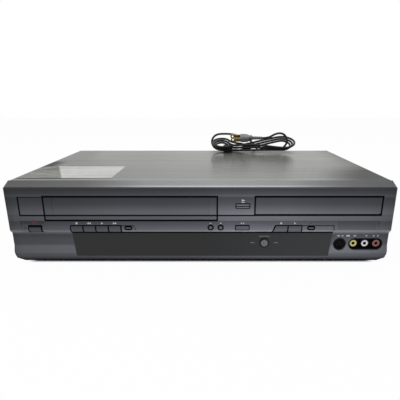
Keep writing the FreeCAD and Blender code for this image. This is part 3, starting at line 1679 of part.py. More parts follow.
def hank_nodes():
    """Points and directions of the hank's line: turns drawn in at the tie, with ends that stand open
    and grow from the lowest turn to the highest."""
    right = Vector(1, 0, 0)
    left = Vector(-1, 0, 0)
    nodes = [(Vector(hank_start_x, hank_y + hank_start_offset, hank_low), right)]
    right_x = hank_right - hank_right_reach
    left_x = hank_left + hank_left_reach
    for turn in range(hank_turns):
        back = hank_half + turn * hank_back_growth
        front = hank_half + turn * hank_front_growth
        tied = hank_low + turn * hank_pitch
        lower = hank_low + hank_front_lift + turn * hank_lower_step
        right_upper = hank_low + hank_right_lift + turn * hank_upper_step
        left_upper = hank_low + hank_left_lift + turn * hank_upper_step
        slope = (right_upper - lower) / (back + front)
        left_slope = (left_upper - lower) / (back + front)
        nodes += [
            (Vector(hank_tie_x, hank_y + hank_tie, tied), right),
            (Vector(right_x, hank_y + back, right_upper), right),
            (Vector(hank_right + turn * hank_right_growth, hank_y, lower + slope * front),
             Vector(0, -1, -slope)),
            (Vector(right_x, hank_y - front, lower), left),
            (Vector(hank_tie_x, hank_y - hank_tie, tied + hank_pitch / 2), left),
            (Vector(left_x, hank_y - front, lower), left),
            (Vector(hank_left - turn * hank_left_growth, hank_y, lower + left_slope * front),
             Vector(0, 1, left_slope)),
            (Vector(left_x, hank_y + back, left_upper), right),
        ]
    nodes.append((Vector(hank_tie_x, hank_y + 1.0, hank_low + hank_turns * hank_pitch - 0.7), right))
    nodes.append((Vector(hank_end_x, hank_y, hank_low + hank_end_lift), right))
    for place, way in nodes:
        way.normalize()
    return nodes


def cord_hank():
    nodes = hank_nodes()
    edges = []
    for (start, start_way), (end, end_way) in zip(nodes, nodes[1:]):
        edges += biarc(start, start_way, end, end_way)
    last, way = nodes[-1]
    first, first_way = nodes[0]
    edges.insert(0, Part.LineSegment(first - first_way * cord, first).toShape())
    edges.append(Part.LineSegment(last, last + way * cord).toShape())
    wire = Part.Wire(edges)
    section = Part.Wire([Part.makeCircle(cord / 2, first - first_way * cord, first_way)])
    tube = wire.makePipeShell([section], True, False)
    expected = math.pi * (cord / 2) ** 2 * wire.Length
    print("hank length", round(wire.Length, 1), "least gap", round(least_gap(wire), 2),
          "volume over section by length", round(tube.Volume / expected, 4))
    return tube


def least_gap(wire):
    """Smallest clear distance between turns, measured on points along the line."""
    spacing = 2.0
    points = wire.discretize(Distance=spacing)
    skip = int(12 * cord / spacing)
    least = 1000.0
    for index, point in enumerate(points):
        for other in points[index + skip:]:
            least = min(least, point.distanceToPoint(other))
    return least - cord


def mains_cord_points():
    """Route from the strain relief up behind the case, over its edge and round to the hank."""
    rear_run = hank_y + hank_start_offset
    tip = panel_back + relief_length
    low = hank_low
    top = low + 2 * arch_radius
    join_x = hank_start_x - cord
    return [
        (cord_exit_x, tip, cord_exit_z),
        (cord_exit_x, tip + 14, cord_exit_z),
        (cord_exit_x - 2, tip + 27, cord_exit_z + 12),
        (cord_exit_x - 7, tip + 31, cord_exit_z + 31),
        (cord_exit_x - 14, tip + 28, cord_exit_z + 52),
        (cord_exit_x - 23, tip + 19, cord_exit_z + 71),
        (cord_exit_x - 35, tip + 4, cord_exit_z + 86),
        (cord_exit_x - 50, cover_rear + 6, cord_exit_z + 95),
        (cord_exit_x - 67, rear_run + 6, top - 0.5),
        (join_x + 7, rear_run + 2.6, top + 0.6),
        (join_x - 10.8, rear_run + 0.6, top),
        (join_x - 18.5, rear_run, low + arch_radius),
        (join_x - 10.8, rear_run, low),
        (join_x, rear_run, low),
    ]


def plug_lead_points():
    """Route from inside the hank, up in a standing loop and back to the plug's strain relief."""
    low = hank_low + hank_end_lift
    start_x = hank_end_x + cord
    return [
        (start_x, hank_y, low),
        (start_x + 12.7, hank_y, low),
        (start_x + 20.3, hank_y - 0.5, low + 7.6),
        (start_x + 20.3, hank_y - 1.0, low + 18.4),
        (start_x + 12.7, hank_y - 1.0, low + 26.0),
        (start_x + 1.3, hank_y - 0.5, low + 25.3),
        (plug_tail_x + 10, hank_y, plug_z),
        (plug_tail_x, hank_y, plug_z),
    ]


# Mains plug

def plug_place(shape):
    """Roll a piece of the plug about its own length."""
    shape.rotate(Vector(0, hank_y, plug_z), Vector(1, 0, 0), plug_roll)
    return shape


def plug_section(x, wide, thick, corner):
    return round_rect(
        lambda y, z: Vector(x, hank_y + y, plug_z + z), -wide / 2, wide / 2, -thick / 2, thick / 2, (corner,) * 4,
    )


def mains_plug():
    shoulder = plug_x + plug_length - 3.5
    neck = plug_x + plug_length
    body = Part.makeLoft([
        plug_section(plug_x, plug_wide - 1.0, plug_thick - 1.0, 2.2),
        plug_section(plug_x + 2, plug_wide, plug_thick, 2.4),
        plug_section(shoulder, plug_wide - 1.0, plug_thick - 0.6, 2.4),
        plug_section(neck, 9.0, 7.0, 2.4),
    ], True, True)
    grip = Part.Face(plug_section(neck + 1.2, 11.0, 8.0, 2.4)).extrude(Vector(2.0, 0, 0))
    core = rod_x(neck, neck + 4, hank_y, plug_z, 3.0)
    tail = Part.makeCone(
        3.0, cord / 2 + 0.5, plug_tail_x - neck - 4, Vector(neck + 4, hank_y, plug_z), Vector(1, 0, 0),
    )
    body = body.fuse([grip, core, tail])
    rings = []
    for step in range(4):
        x = neck + 5.5 + step * 3.2
        ring = rod_x(x, x + 1.2, hank_y, plug_z, 4.0)
        rings.append(ring.cut(rod_x(x, x + 1.2, hank_y, plug_z, cord / 2 + 0.2)))
    return plug_place(body.cut(rings).removeSplitter())


def plug_blades():
    blades = []
    for side in (-1, 1):
        y = hank_y + side * blade_spacing / 2
        tip = plug_x - blade_length
        blade = box(
            tip, plug_x, y - blade_thickness / 2, y + blade_thickness / 2,
            plug_z - blade_width / 2, plug_z + blade_width / 2,
        )
        end = [edge for edge in blade.Edges if edge.BoundBox.XMax < tip + 0.01 and edge.BoundBox.YLength > 1]
        blade = blade.makeFillet(1.6, end)
        blades.append(plug_place(blade.cut(rod_y(y - 2, y + 2, tip + 3.4, plug_z, 1.5))))
    return blades


def tray_button():
    return hole_button(tray_button_x, tray_button_z, wide_button_length, wide_button_height, key_proud, True)


def dubbing_button():
    return hole_button(dubbing_x, dubbing_z, wide_button_length, wide_button_height, key_proud, True)


def record_button(x):
    return hole_button(x, record_z, record_length, record_height, 0.0)


def channel_button(x):
    return hole_button(x, channel_z, 2 * channel_radius, 2 * channel_radius, 0.3)


pieces = {
    "front_bezel": front_bezel(),
    "display_window": display_window(),
    "cassette_door": cassette_door(),
    "tray_front": tray_front(),
    "power_button": edge_key(power_key_left + key_gap, power_key_left + power_key_width - key_gap),
    "tape_stop_key": tape_key(0),
    "tape_rewind_key": tape_key(1),
    "tape_play_key": tape_key(2),
    "tape_forward_key": tape_key(3),
    "tape_record_button": record_button(tape_record_x),
    "channel_down_button": channel_button(channel_down_x),
    "channel_up_button": channel_button(channel_up_x),
    "dubbing_button": dubbing_button(),
    "tray_button": tray_button(),
    "disc_stop_key": edge_key(disc_row_left + key_gap, disc_key_split - key_gap / 2, disc_key_slant),
    "disc_play_key": edge_key(disc_key_split + key_gap / 2, disc_row_right - key_gap),
    "disc_record_button": record_button(disc_record_x),
    "input_button": input_button(),
    "standby_lamp": standby_lamp(),
    "front_board": front_board(),
    "s_video_socket": s_video_socket(),
    "front_jack_block": front_jack_block(),
    "jack_shells": front_jack_tubes() + rear_jack_tubes(),
    "video_insulator": jack_insulator(0),
    "audio_left_insulator": jack_insulator(1),
    "audio_right_insulator": jack_insulator(2),
    "top_cover": top_cover(),
    "cover_screws": cover_screws(),
    "base_chassis": base_chassis(),
    "feet": feet(),
    "rear_panel": rear_panel(),
    "rear_jack_block": rear_jack_block(),
    "tuner_can": tuner_can(),
    "aerial_sockets": aerial_sockets(),
    "fan_frame": fan_frame(),
    "fan_rotor": fan_rotor(),
    "cord_relief": cord_relief(),
    "deck_plate": deck_plate(),
    "loading_frame": loading_frame(),
    "holder_slider": holder_slider(),
    "cassette_holder": cassette_holder(),
    "supply_reel": reel(reel_places()[0]),
    "takeup_reel": reel(reel_places()[1]),
    "drum_base": drum_base(),
    "head_drum": head_drum(),
    "capstan": capstan(),
    "drive_frame": drive_frame(),
    "clamp_bridge": clamp_bridge(),
    "clamp_disc": clamp_disc(),
    "disc_tray": disc_tray(),
    "traverse": traverse(),
    "turntable": turntable(),
    "pickup": pickup(),
    "main_board": main_board(),
    "power_board": power_board(),
    "mains_cord": cord_tube("mains cord", mains_cord_points()),
    "cord_hank": cord_hank(),
    "plug_lead": cord_tube("plug lead", plug_lead_points()),
    "mains_plug": mains_plug(),
    "plug_blades": plug_blades(),
}

os.makedirs("parts", exist_ok=True)
for name, shape in pieces.items():
    if isinstance(shape, list):
        shape = Part.makeCompound(shape)
    shape.exportStep("parts/" + name + ".step")
    bounds = shape.BoundBox
    print(name, len(shape.Solids), "solids", shape.isValid(), round(shape.Volume / 1000, 2), "cm3",
          "x", round(bounds.XMin, 1), round(bounds.XMax, 1), "y", round(bounds.YMin, 1), round(bounds.YMax, 1),
          "z", round(bounds.ZMin, 1), round(bounds.ZMax, 1))
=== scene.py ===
import bpy
import bmesh
from math import cos, radians, sin, sqrt, tan
from mathutils import Matrix, Vector


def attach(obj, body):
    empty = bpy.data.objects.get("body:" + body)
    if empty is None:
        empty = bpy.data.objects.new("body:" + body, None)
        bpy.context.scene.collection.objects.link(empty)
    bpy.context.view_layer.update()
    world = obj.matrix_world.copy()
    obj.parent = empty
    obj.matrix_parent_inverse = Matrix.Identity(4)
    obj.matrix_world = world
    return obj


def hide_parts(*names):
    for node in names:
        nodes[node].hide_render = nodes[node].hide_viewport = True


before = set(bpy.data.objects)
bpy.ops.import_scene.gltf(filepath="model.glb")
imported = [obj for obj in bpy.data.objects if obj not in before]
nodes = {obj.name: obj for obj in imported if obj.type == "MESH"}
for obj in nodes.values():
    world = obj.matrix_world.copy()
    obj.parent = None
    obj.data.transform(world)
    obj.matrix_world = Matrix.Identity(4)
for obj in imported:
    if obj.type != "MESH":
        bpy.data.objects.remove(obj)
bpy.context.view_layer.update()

scene = bpy.context.scene
scene.view_settings.view_transform = "Standard"

faceY = -0.1195  # front plane of the bezel
coverTop = 0.0995
coverRear = 0.1135
print("frame loaded with", len(nodes), "nodes")


# colours and finishes

def shade(red, green, blue):  # screen colour, 0 to 255
    def plain(value):
        value = value / 255
        return value / 12.92 if value <= 0.04045 else ((value + 0.055) / 1.055) ** 2.4
    return (plain(red), plain(green), plain(blue), 1.0)


def operator(operation, turned=False):
    def act(thread, other):
        pair = (other, thread) if turned else (thread, other)
        return thread.graph.maths(operation, *pair)
    return act


class Thread:
    # one output socket, which can take part in sums
    __add__ = operator("ADD")
    __radd__ = operator("ADD", True)
    __sub__ = operator("SUBTRACT")
    __rsub__ = operator("SUBTRACT", True)
    __mul__ = operator("MULTIPLY")
    __rmul__ = operator("MULTIPLY", True)
    __truediv__ = operator("DIVIDE")

    def __init__(self, graph, socket):
        self.graph = graph
        self.socket = socket

    def __abs__(self):
        return self.graph.maths("ABSOLUTE", self)


class Graph:
    # the nodes of a material or of the world
    def __init__(self, owner):
        owner.use_nodes = True
        self.tree = owner.node_tree
        self.tree.nodes.clear()

    def node(self, kind, settings=None, sockets=None, out=0):
        made = self.tree.nodes.new(kind)
        for name, value in (settings or {}).items():
            if name == "stops":
                ramp = made.color_ramp
                ramp.elements.remove(ramp.elements[1])
                ramp.elements[0].position = value[0][0]
                ramp.elements[0].color = value[0][1]
                for place, colour in value[1:]:
                    ramp.elements.new(place).color = colour
            else:
                setattr(made, name, value)
        for name, value in (sockets or {}).items():
            if isinstance(value, Thread):
                self.tree.links.new(value.socket, made.inputs[name])
            else:
                made.inputs[name].default_value = value
        return Thread(self, made.outputs[out])

    def split(self, vector):  # its three parts
        parts = self.node("ShaderNodeSeparateXYZ", sockets={"Vector": vector})
        return [Thread(self, socket) for socket in parts.socket.node.outputs]

    def maths(self, operation, first, second=0.0):
        return self.node("ShaderNodeMath", {"operation": operation}, {0: first, 1: second})

    def direct(self):  # rays from the camera, straight or by way of a mirror or glass
        seen = self.node("ShaderNodeLightPath", out="Is Camera Ray")
        mirrored = self.node("ShaderNodeLightPath", out="Is Glossy Ray")
        through = self.node("ShaderNodeLightPath", out="Is Transmission Ray")
        return self.maths("MINIMUM", seen + mirrored + through, 1.0)

    def close(self, shader, output="ShaderNodeOutputMaterial"):
        end = self.tree.nodes.new(output)
        self.tree.links.new(shader.socket, end.inputs["Surface"])


class Paint(Graph):
    def __init__(self, name):
        self.material = bpy.data.materials.new(name)
        super().__init__(self.material)
        self.place = self.node("ShaderNodeTexCoord", out="Object")
        self.x, self.y, self.z = self.split(self.place)

    def mix(self, mask, first, second, blend="MIX"):
        return self.node("ShaderNodeMix", {"data_type": "RGBA", "blend_type": blend}, {
            0: mask, 6: first, 7: second}, 2)

    def product(self, first, second):  # one colour times another
        return self.mix(1.0, first, second, "MULTIPLY")

    def tint(self, colour, strength):  # colour times a grey strength
        level = self.node("ShaderNodeCombineColor", sockets={0: strength, 1: strength, 2: strength})
        return self.product(colour, level)

    def rise(self, value, start, end, low=0.0, high=1.0):  # smooth step from low to high
        return self.node("ShaderNodeMapRange", {"interpolation_type": "SMOOTHSTEP"}, {
            "Value": value, "From Min": start, "From Max": end, "To Min": low, "To Max": high})

    def step(self, value, place, soft, low=0.0, high=1.0):  # the same round one place
        return self.rise(value, place - soft, place + soft, low, high)

    def band(self, value, start, end, soft):
        return self.step(value, start, soft) * (1 - self.step(value, end, soft))

    def distance(self, first, second):
        return self.maths("SQRT", first * first + second * second)

    def stretched(self, scale=(1, 1, 1), turn=(0, 0, 0)):
        return self.node("ShaderNodeMapping", sockets={
            "Vector": self.place, "Rotation": turn, "Scale": scale})

    def noise(self, size, detail=2.0, vector=None):
        return self.node("ShaderNodeTexNoise", sockets={
            "Vector": vector or self.place, "Scale": 1 / size, "Detail": detail})

    def spread(self, texture, low, high):  # a noise spread over a range of values
        return self.rise(texture, 0.3, 0.7, low, high)

    def speckle(self, size, low, high, detail=2.0, vector=None):
        return self.spread(self.noise(size, detail, vector), low, high)

    def cells(self, size, out="Distance"):
        return self.node("ShaderNodeTexVoronoi", sockets={"Vector": self.place, "Scale": 1 / size}, out=out)

    def ramp(self, value, stops):
        return self.node("ShaderNodeValToRGB", {"stops": stops}, {0: value})

    def bump(self, height, depth):
        return self.node("ShaderNodeBump", sockets={
            "Height": height, "Distance": depth, "Strength": 1.0}, out="Normal")

    def finish(self, sockets, shadeMask=None, shadeColour=shade(40, 40, 39)):  # dull and dark where the painted shade is strong
        shader = self.node("ShaderNodeBsdfPrincipled", sockets=sockets)
        if shadeMask:
            dull = self.node("ShaderNodeBsdfPrincipled", sockets={
                "Base Color": shadeColour, "Roughness": 0.7, "Specular IOR Level": 0.0})
            shader = self.node("ShaderNodeMixShader", sockets={0: shadeMask, 1: shader, 2: dull})
        self.close(shader)
        return self.material


def dress(material, *names):
    for name in names:
        mesh = nodes[name].data
        if not mesh.materials:
            mesh.materials.append(material)
        for index in range(len(mesh.materials)):
            mesh.materials[index] = material


# metallic paint of the front, with painted shading: each panel is painted lighter towards its foot, and
# painted black shadow lines run round it

front = {
    "metal": 0.25,
    "specular": 0.3,
    "flakeSize": 0.00025,
    "flakeHeight": 0.000012,
    # painted shadow lines in the gaps, grooves and recesses: their colour, and how dull they are
    "line": shade(7, 7, 9),
    "lineDullness": 0.8,
    "thin": 0.00005,  # soft edges of lines
    "soft": 0.0001,
    "door": (-0.1756, 0.0193, 0.0548, 0.0824),  # left, right, low and high edge of each opening
    "tray": (0.0607, 0.2035, 0.0614, 0.0824),
    "rimSide": 0.0005,  # how far the painted shadow line spreads over the bezel
    "rimDown": 0.0013,
    "rimUp": 0.0015,
    "panelGap": 0.0009,
    "grooveLow": 0.0599,
    "grooveHigh": 0.0615,
    "wallDepth": 0.0003,  # walls are painted black from here inwards, as shade in the gaps
    "wallFade": 0.0002,
    "walls": (0.0545, 0.0828),  # heights with walls painted as shade round door and tray, and round the keys
    "keyWalls": (0.0398, 0.0540),
    "wallMiddle": -0.0004,
    "wallHalf": 0.2038,
    "faceBottom": 0.043,
    "bandLean": 0.0893,  # how far the key band leans back for its height
    "stepLean": 0.8,  # and the step below it
    "keyTop": 0.0488,
    "keyFoot": 0.0395,
    "keyStep": 0.0433,
    "keyProud": 0.0005,
    "keyEdges": (-0.1954, -0.1804, -0.1478, -0.1334, -0.1190, -0.1046, -0.0902, 0.0993, 0.1152),
    "powerRight": -0.1805,
    "powerLine": 0.0012,  # the power key's painted shadow line is thicker
    "slantFoot": 0.0816,
    "slantBase": 0.0396,
    "slantLean": 0.39,
    "buttons": [  # centre, length and height
        (-0.0820, 0.0456, 0.0068, 0.0026), (0.1258, 0.0456, 0.0068, 0.0026),
        (0.0115, 0.0462, 0.0046, 0.0046), (0.0229, 0.0462, 0.0046, 0.0046),
    ],
    "wideButtons": [(0.0399, 0.0551, 0.0436, 0.0486), (0.0399, 0.0551, 0.0694, 0.0744)],
    "ridge": (0.0711, 0.0721),  # painted shade in the groove between the tray button's two ridges
    # painted shadow at the foot of the bezel, black below these heights
    "lipShadow": (0.0057, 0.0071),
    "shadowLines": [  # painted shadow lines: left, right, low and high edge, and how soft they are across and up
        ((-0.1954, -0.1804, 0.0487, 0.0492), 0.0001, 0.00005),
        ((-0.1478, -0.0902, 0.0487, 0.0492), 0.0001, 0.00005),
        ((0.0852, 0.1152, 0.0487, 0.0492), 0.0001, 0.00005),
        ((-0.1480, 0.1520, 0.0377, 0.0405), 0.0002, 0.0002),
        ((-0.2033, 0.0607, 0.0599, 0.0615), 0.00005, 0.00005),
        ((-0.2037, -0.2021, 0.0605, 0.0828), 0.00005, 0.00005),
    ],
    "shaded": [  # darker areas, and how much darker
        ((-0.2010, -0.1770, 0.0500, 0.0541), 0.35), ((0.1560, 0.2000, 0.0436, 0.0541), 0.22),
    ],
    "halfWidth": 0.22,
    "sideShading": [  # painted shading of the face from left to right
        (-0.2175, 0.62), (-0.2080, 0.76), (-0.1500, 0.85), (-0.0900, 0.93), (0.0, 1.0), (0.030, 1.10),
        (0.060, 1.14), (0.100, 1.12), (0.150, 1.02), (0.1900, 0.97), (0.2080, 0.88), (0.2175, 0.80),
    ],
}
# painted shading and highlight of the bevelled top of the bezel
bevel = {
    "depth": 0.0020,
    "low": 0.0920,
    "middle": 0.02,
    "half": 0.25,
    "shadeTones": [(0.0, 0.55), (0.32, 0.52), (0.48, 0.44), (0.60, 0.38), (1.0, 0.325)],
    "highlight": 0.6,
}


def share(level):  # a screen level as a share of plain light
    return (level ** 2.2, level ** 2.2, level ** 2.2, 1.0)


def patch(paint, sides, softAcross, softUp):
    left, right, low, high = sides
    return paint.band(paint.x, left, right, softAcross) * paint.band(paint.z, low, high, softUp)


def inRectangle(paint, sides, grow=0.0, down=None, up=None):
    left, right, low, high = sides
    down = grow if down is None else down
    up = grow if up is None else up
    return patch(paint, (left - grow, right + grow, low - down, high + up), front["thin"], front["thin"])


def inCapsule(paint, x, z, length, tall, grow):
    along = paint.maths("MAXIMUM", abs(paint.x - x) - (length - tall) / 2, 0.0)
    return paint.step(paint.distance(along, paint.z - z), tall / 2 + grow, front["soft"], 1.0, 0.0)


def smallButtons(paint, grow):
    mask = 0.0
    for x, z, length, tall in front["buttons"]:
        mask = inCapsule(paint, x, z, length, tall, grow) + mask
    return mask


# painted shade in the gaps between keys
def keyGapShade(paint, half):
    slant = (paint.z - front["slantBase"]) * front["slantLean"]
    mask = paint.band(paint.x - slant, front["slantFoot"] - half, front["slantFoot"] + half, front["thin"])
    for edge in front["keyEdges"]:
        mask = mask + paint.band(paint.x, edge - half, edge + half, front["thin"])
    return mask * paint.band(paint.z, front["keyFoot"], front["keyTop"], front["soft"])


# painted shade on walls that lie deeper than the face
def wallShadeMask(paint, depth, deeper=0.0):
    start = front["wallDepth"] + deeper
    return paint.rise(depth, start, start + front["wallFade"])


# painted shadow lines of the bezel: on its deep walls, round its openings, keys and buttons, along its
# grooves and under its lip
def bezelShadeLines(paint):
    depth = paint.y - faceY
    lean = paint.maths("MAXIMUM", paint.z - front["faceBottom"], 0.0) * front["bandLean"]
    step = paint.maths("MAXIMUM", front["faceBottom"] - paint.z, 0.0) * front["stepLean"]
    walls = wallShadeMask(paint, depth) * paint.band(paint.z, *front["walls"], front["soft"])
    keyWalls = wallShadeMask(paint, depth - lean - step) * paint.band(paint.z, *front["keyWalls"], front["soft"])
    ends = paint.step(abs(paint.x - front["wallMiddle"]), front["wallHalf"], front["wallFade"])
    lines = (walls + keyWalls) * (1 - ends)
    for opening in (front["door"], front["tray"]):
        lines = lines + inRectangle(paint, opening, front["rimSide"], front["rimDown"], front["rimUp"])
    for sides, softAcross, softUp in front["shadowLines"]:
        lines = lines + patch(paint, sides, softAcross, softUp)
    lines = lines + paint.rise(paint.z, *front["lipShadow"], 1.0, 0.0)
    return lines + keyGapShade(paint, 0.0007) + smallButtons(paint, 0.0013)


def panelShadeLines(opening, grooved):
    # painted shade along the edge of a door or tray front, on its deep walls, and in the fine groove across
    # the door
    def lines(paint):
        left, right, low, high = opening
        gap = front["panelGap"]
        face = inRectangle(paint, (left + gap, right - gap, low + gap, high - gap), -0.0004, -0.0001, 0.0)
        edges = 1 - face + wallShadeMask(paint, paint.y - faceY, 0.0001)
        if grooved:
            edges = edges + paint.band(paint.z, front["grooveLow"], front["grooveHigh"], front["thin"])
        return edges
    return lines


# painted shade on the key walls, in the gaps between keys and along their tops
def keyShadeLines(paint):
    step = paint.maths("MAXIMUM", front["keyStep"] - paint.z, 0.0) * front["stepLean"]
    walls = wallShadeMask(paint, paint.y - faceY + front["keyProud"] - step, 0.0002)
    power = paint.step(paint.x, front["powerRight"], 0.0005, 1.0, 0.0)
    top = paint.step(paint.z + power * front["powerLine"], front["keyTop"] - 0.0009, front["soft"])
    return walls + keyGapShade(paint, 0.0008) + top


# painted shade round the button faces, in the tray button's groove and on their sides and backs
def buttonShadeLines(paint):
    lines = 1 - smallButtons(paint, -0.0004)
    for sides in front["wideButtons"]:
        lines = lines - inRectangle(paint, sides, -0.0004)
    ridge = paint.band(paint.z, *front["ridge"], front["soft"])
    return lines + ridge + paint.rise(paint.y - faceY, 0.0, 0.0002)


def bevelShading(paint):
    # painted shade and highlight on the bevelled top of the bezel: darker towards its ends, with a painted
    # highlight along its front edge, most of all towards the middle
    off = abs(paint.x - bevel["middle"])
    tone = paint.ramp(off / bevel["half"], [(place, share(level)) for place, level in bevel["shadeTones"]])
    highlight = paint.band(paint.y, faceY + 0.0018, faceY + 0.0034, 0.0005)
    return paint.tint(tone, 1 + bevel["highlight"] * highlight * paint.rise(off, 0.06, 0.16, 1.0, 0.1))


def frontPaint(name, shadeTones, lines, rough=0.4):
    # shadeTones: painted shading as height in millimetres and screen level
    paint = Paint(name)
    tone = paint.ramp(paint.z / 0.1, [
        (height / 100, shade(level, level + 1, level + 7)) for height, level in shadeTones])
    half = front["halfWidth"]
    # painted shading across the face from left to right
    sideShading = [((place + half) / (2 * half), share(level)) for place, level in front["sideShading"]]
    tone = paint.product(tone, paint.ramp((paint.x + half) / (2 * half), sideShading))
    colour = paint.tint(tone, paint.speckle(0.06, 0.97, 1.03, 3.0))
    for sides, darker in front["shaded"]:
        colour = paint.tint(colour, 1 - inRectangle(paint, sides) * darker)
    onBevel = paint.step(paint.y, faceY + bevel["depth"], 0.0002) * paint.step(paint.z, bevel["low"], 0.0005)
    colour = paint.mix(onBevel, colour, bevelShading(paint))
    # the painted shadow lines are mixed in, dark and dull
    lineShade = paint.maths("MINIMUM", lines(paint), 1.0)
    flakes = paint.noise(front["flakeSize"], 1.0)
    return paint.finish({
        "Base Color": paint.mix(lineShade, colour, front["line"]),
        "Metallic": front["metal"],
        "Roughness": paint.spread(flakes, rough - 0.05, rough + 0.05),
        "Specular IOR Level": front["specular"],
        "Normal": paint.bump(flakes, front["flakeHeight"]),
    }, lineShade * front["lineDullness"], front["line"])


# painted light and shade of each front part by height: height in millimetres and screen level
bezelShading = [
    (7.6, 58), (9.0, 74), (10.0, 92), (11.5, 93), (13.5, 100), (15.0, 116), (21.5, 118), (23.5, 106),
    (25.0, 92), (30.0, 90), (36.0, 76), (38.0, 110), (40.0, 160), (42.8, 152), (43.2, 106), (46.0, 98),
    (50.0, 82), (53.8, 76), (54.3, 96), (58.5, 103), (60.4, 96), (61.6, 104), (63.0, 110), (66.0, 104),
    (70.0, 91), (74.0, 75), (80.5, 62), (84.0, 84), (86.0, 66), (91.0, 50), (92.5, 44), (93.2, 24),
]
doorShading = [
    (55.0, 98), (58.5, 94), (60.3, 86), (61.7, 92), (63.0, 103), (66.5, 98), (70.0, 84), (74.0, 68),
    (80.5, 56),
]
trayShading = [(61.6, 100), (63.0, 106), (66.5, 96), (70.0, 84), (74.0, 68), (80.5, 58)]
keyShading = [(40.0, 104), (43.0, 96), (46.0, 76), (48.5, 66)]
buttonShading = [(43.0, 92), (49.0, 84), (68.0, 106), (76.0, 92)]
bezelPaint = frontPaint("bezelPaint", bezelShading, bezelShadeLines)
doorPaint = frontPaint("doorPaint", doorShading, panelShadeLines(front["door"], True))
trayPaint = frontPaint("trayPaint", trayShading, panelShadeLines(front["tray"], False))
keyPaint = frontPaint("keyPaint", keyShading, keyShadeLines, 0.36)
buttonPaint = frontPaint("buttonPaint", buttonShading, buttonShadeLines, 0.36)


def coverPaint():
    cover = {
        "colour": shade(141, 142, 134), "metal": 0.08, "gloss": 1.26, "grain": 0.000004,
        "streak": 0.05, "fineStreak": 0.02, "middle": 0.02, "end": 0.205, "top": (0.0990, 0.0993),
        # painted shade: towards the ends, behind the front strip, at right and left, at a left corner, under
        # the hank and inside
        "endShade": 0.5, "rearShade": 0.66, "rightShade": 0.6, "leftShade": 0.1, "cornerShade": 0.6,
        "hankShade": 0.4, "insideShade": 0.8, "darkest": 0.9,
        # painted dark reflection lines across the top: from, to, soft edge and strength
        "lines": [(0.0137, 0.0167, 0.0016, 0.1), (-0.0619, -0.0594, 0.0012, 0.2)],
    }
    paint = Paint("coverPaint")
    wide = paint.noise(0.02, 2.0, paint.stretched((0.05, 1, 1)))
    fine = paint.noise(0.002, 3.0, paint.stretched((0.02, 1, 1)))
    streaks = paint.spread(wide, 1 - cover["streak"], 1 + cover["streak"])
    streaks = streaks * paint.spread(fine, 1 - cover["fineStreak"], 1 + cover["fineStreak"])
    # painted shade: the top is darker towards its ends and behind its front strip
    endStart = paint.rise(paint.y, -0.11, 0.10, 0.08, 0.185)
    ends = paint.rise(abs(paint.x - cover["middle"]), endStart, cover["end"], 0.0, cover["endShade"])
    rear = paint.rise(paint.y, -0.1115, -0.0995, 1.0, cover["rearShade"])
    # painted shade inside the cover, which is also made rougher
    inside = paint.step(abs(paint.x), 0.2134, 0.0002, 1.0, 0.0)
    inside = inside * paint.step(paint.z, 0.0986, 0.0002, 1.0, 0.0)
    colour = paint.tint(cover["colour"], streaks * (1 - ends) * rear)
    colour = paint.tint(colour, 1 - inside * cover["insideShade"])
    # painted reflections and shadows on the top
    rightStart = paint.rise(paint.y, -0.10, 0.0, 0.125, 0.17)
    rightEnd = paint.rise(paint.y, -0.10, 0.0, 0.19, 0.26)
    shadeMask = paint.rise(paint.x, rightStart, rightEnd, 0.0, cover["rightShade"])
    shadeMask = shadeMask + paint.rise(paint.x, -0.10, 0.0, cover["leftShade"], 0.0)
    # painted dark reflection near the left corner
    corner = paint.rise(paint.x, -0.207, -0.187, cover["cornerShade"], 0.0)
    shadeMask = shadeMask + corner * paint.band(paint.y, -0.036, 0.006, 0.010)
    for nearer, farther, soft, strength in cover["lines"]:
        shadeMask = shadeMask + paint.band(paint.y, nearer, farther, soft) * strength
    # painted shadow along the front edge of the label
    labelShadow = paint.band(paint.y, -0.1040, -0.1012, 0.0003) * paint.rise(paint.x, -0.18, -0.10, 0.8, 0.25)
    shadeMask = shadeMask + labelShadow * paint.band(paint.x, -0.210, -0.100, 0.003)
    # painted shadow under the cord hank
    hankShade = paint.rise(paint.y, 0.060, 0.098, 0.0, cover["hankShade"])
    shadeMask = shadeMask + hankShade * paint.band(paint.x, 0.018, 0.144, 0.010)
    shadeMask = paint.maths("MINIMUM", shadeMask * paint.rise(paint.z, *cover["top"]), cover["darkest"])
    return paint.finish({
        "Base Color": colour,
        "Metallic": cover["metal"],
        "IOR": cover["gloss"],
        "Roughness": paint.spread(fine, 0.2, 0.28) + inside * 0.4,
        "Normal": paint.bump(paint.noise(0.0005, 2.0), cover["grain"]),
    }, shadeMask)


def smokedWindow():
    window = {"colour": shade(23, 23, 25), "right": shade(41, 42, 44)}
    paint = Paint("smokedWindow")
    haze = paint.speckle(0.05, 0.96, 1.04, 2.0)
    colour = paint.tint(paint.mix(paint.rise(paint.x, -0.02, 0.14), window["colour"], window["right"]), haze)
    dust = paint.noise(0.0008, 2.0)
    return paint.finish({
        "Base Color": colour,
        "Roughness": paint.rise(dust, 0.4, 0.7, 0.12, 0.2),
        "Specular IOR Level": 0.3,
        "Coat Weight": 0.1,
        "Coat Roughness": 0.05,
        "Normal": paint.bump(dust, 0.000004),
    })


def mouldedPlastic(name, colour, rough=(0.43, 0.58), grain=0.00025, depth=0.00002, specular=0.35,
                   clouds=(0.02, 0.93, 1.07), tone=None):
    paint = Paint(name)
    texture = paint.noise(grain, 3.0)
    colour = paint.tint(colour, paint.speckle(*clouds, 3.0))
    return paint.finish({
        "Base Color": paint.tint(colour, tone(paint)) if tone else colour,
        "Roughness": paint.spread(texture, *rough),
        "Specular IOR Level": specular,
        "Normal": paint.bump(texture, depth),
    })


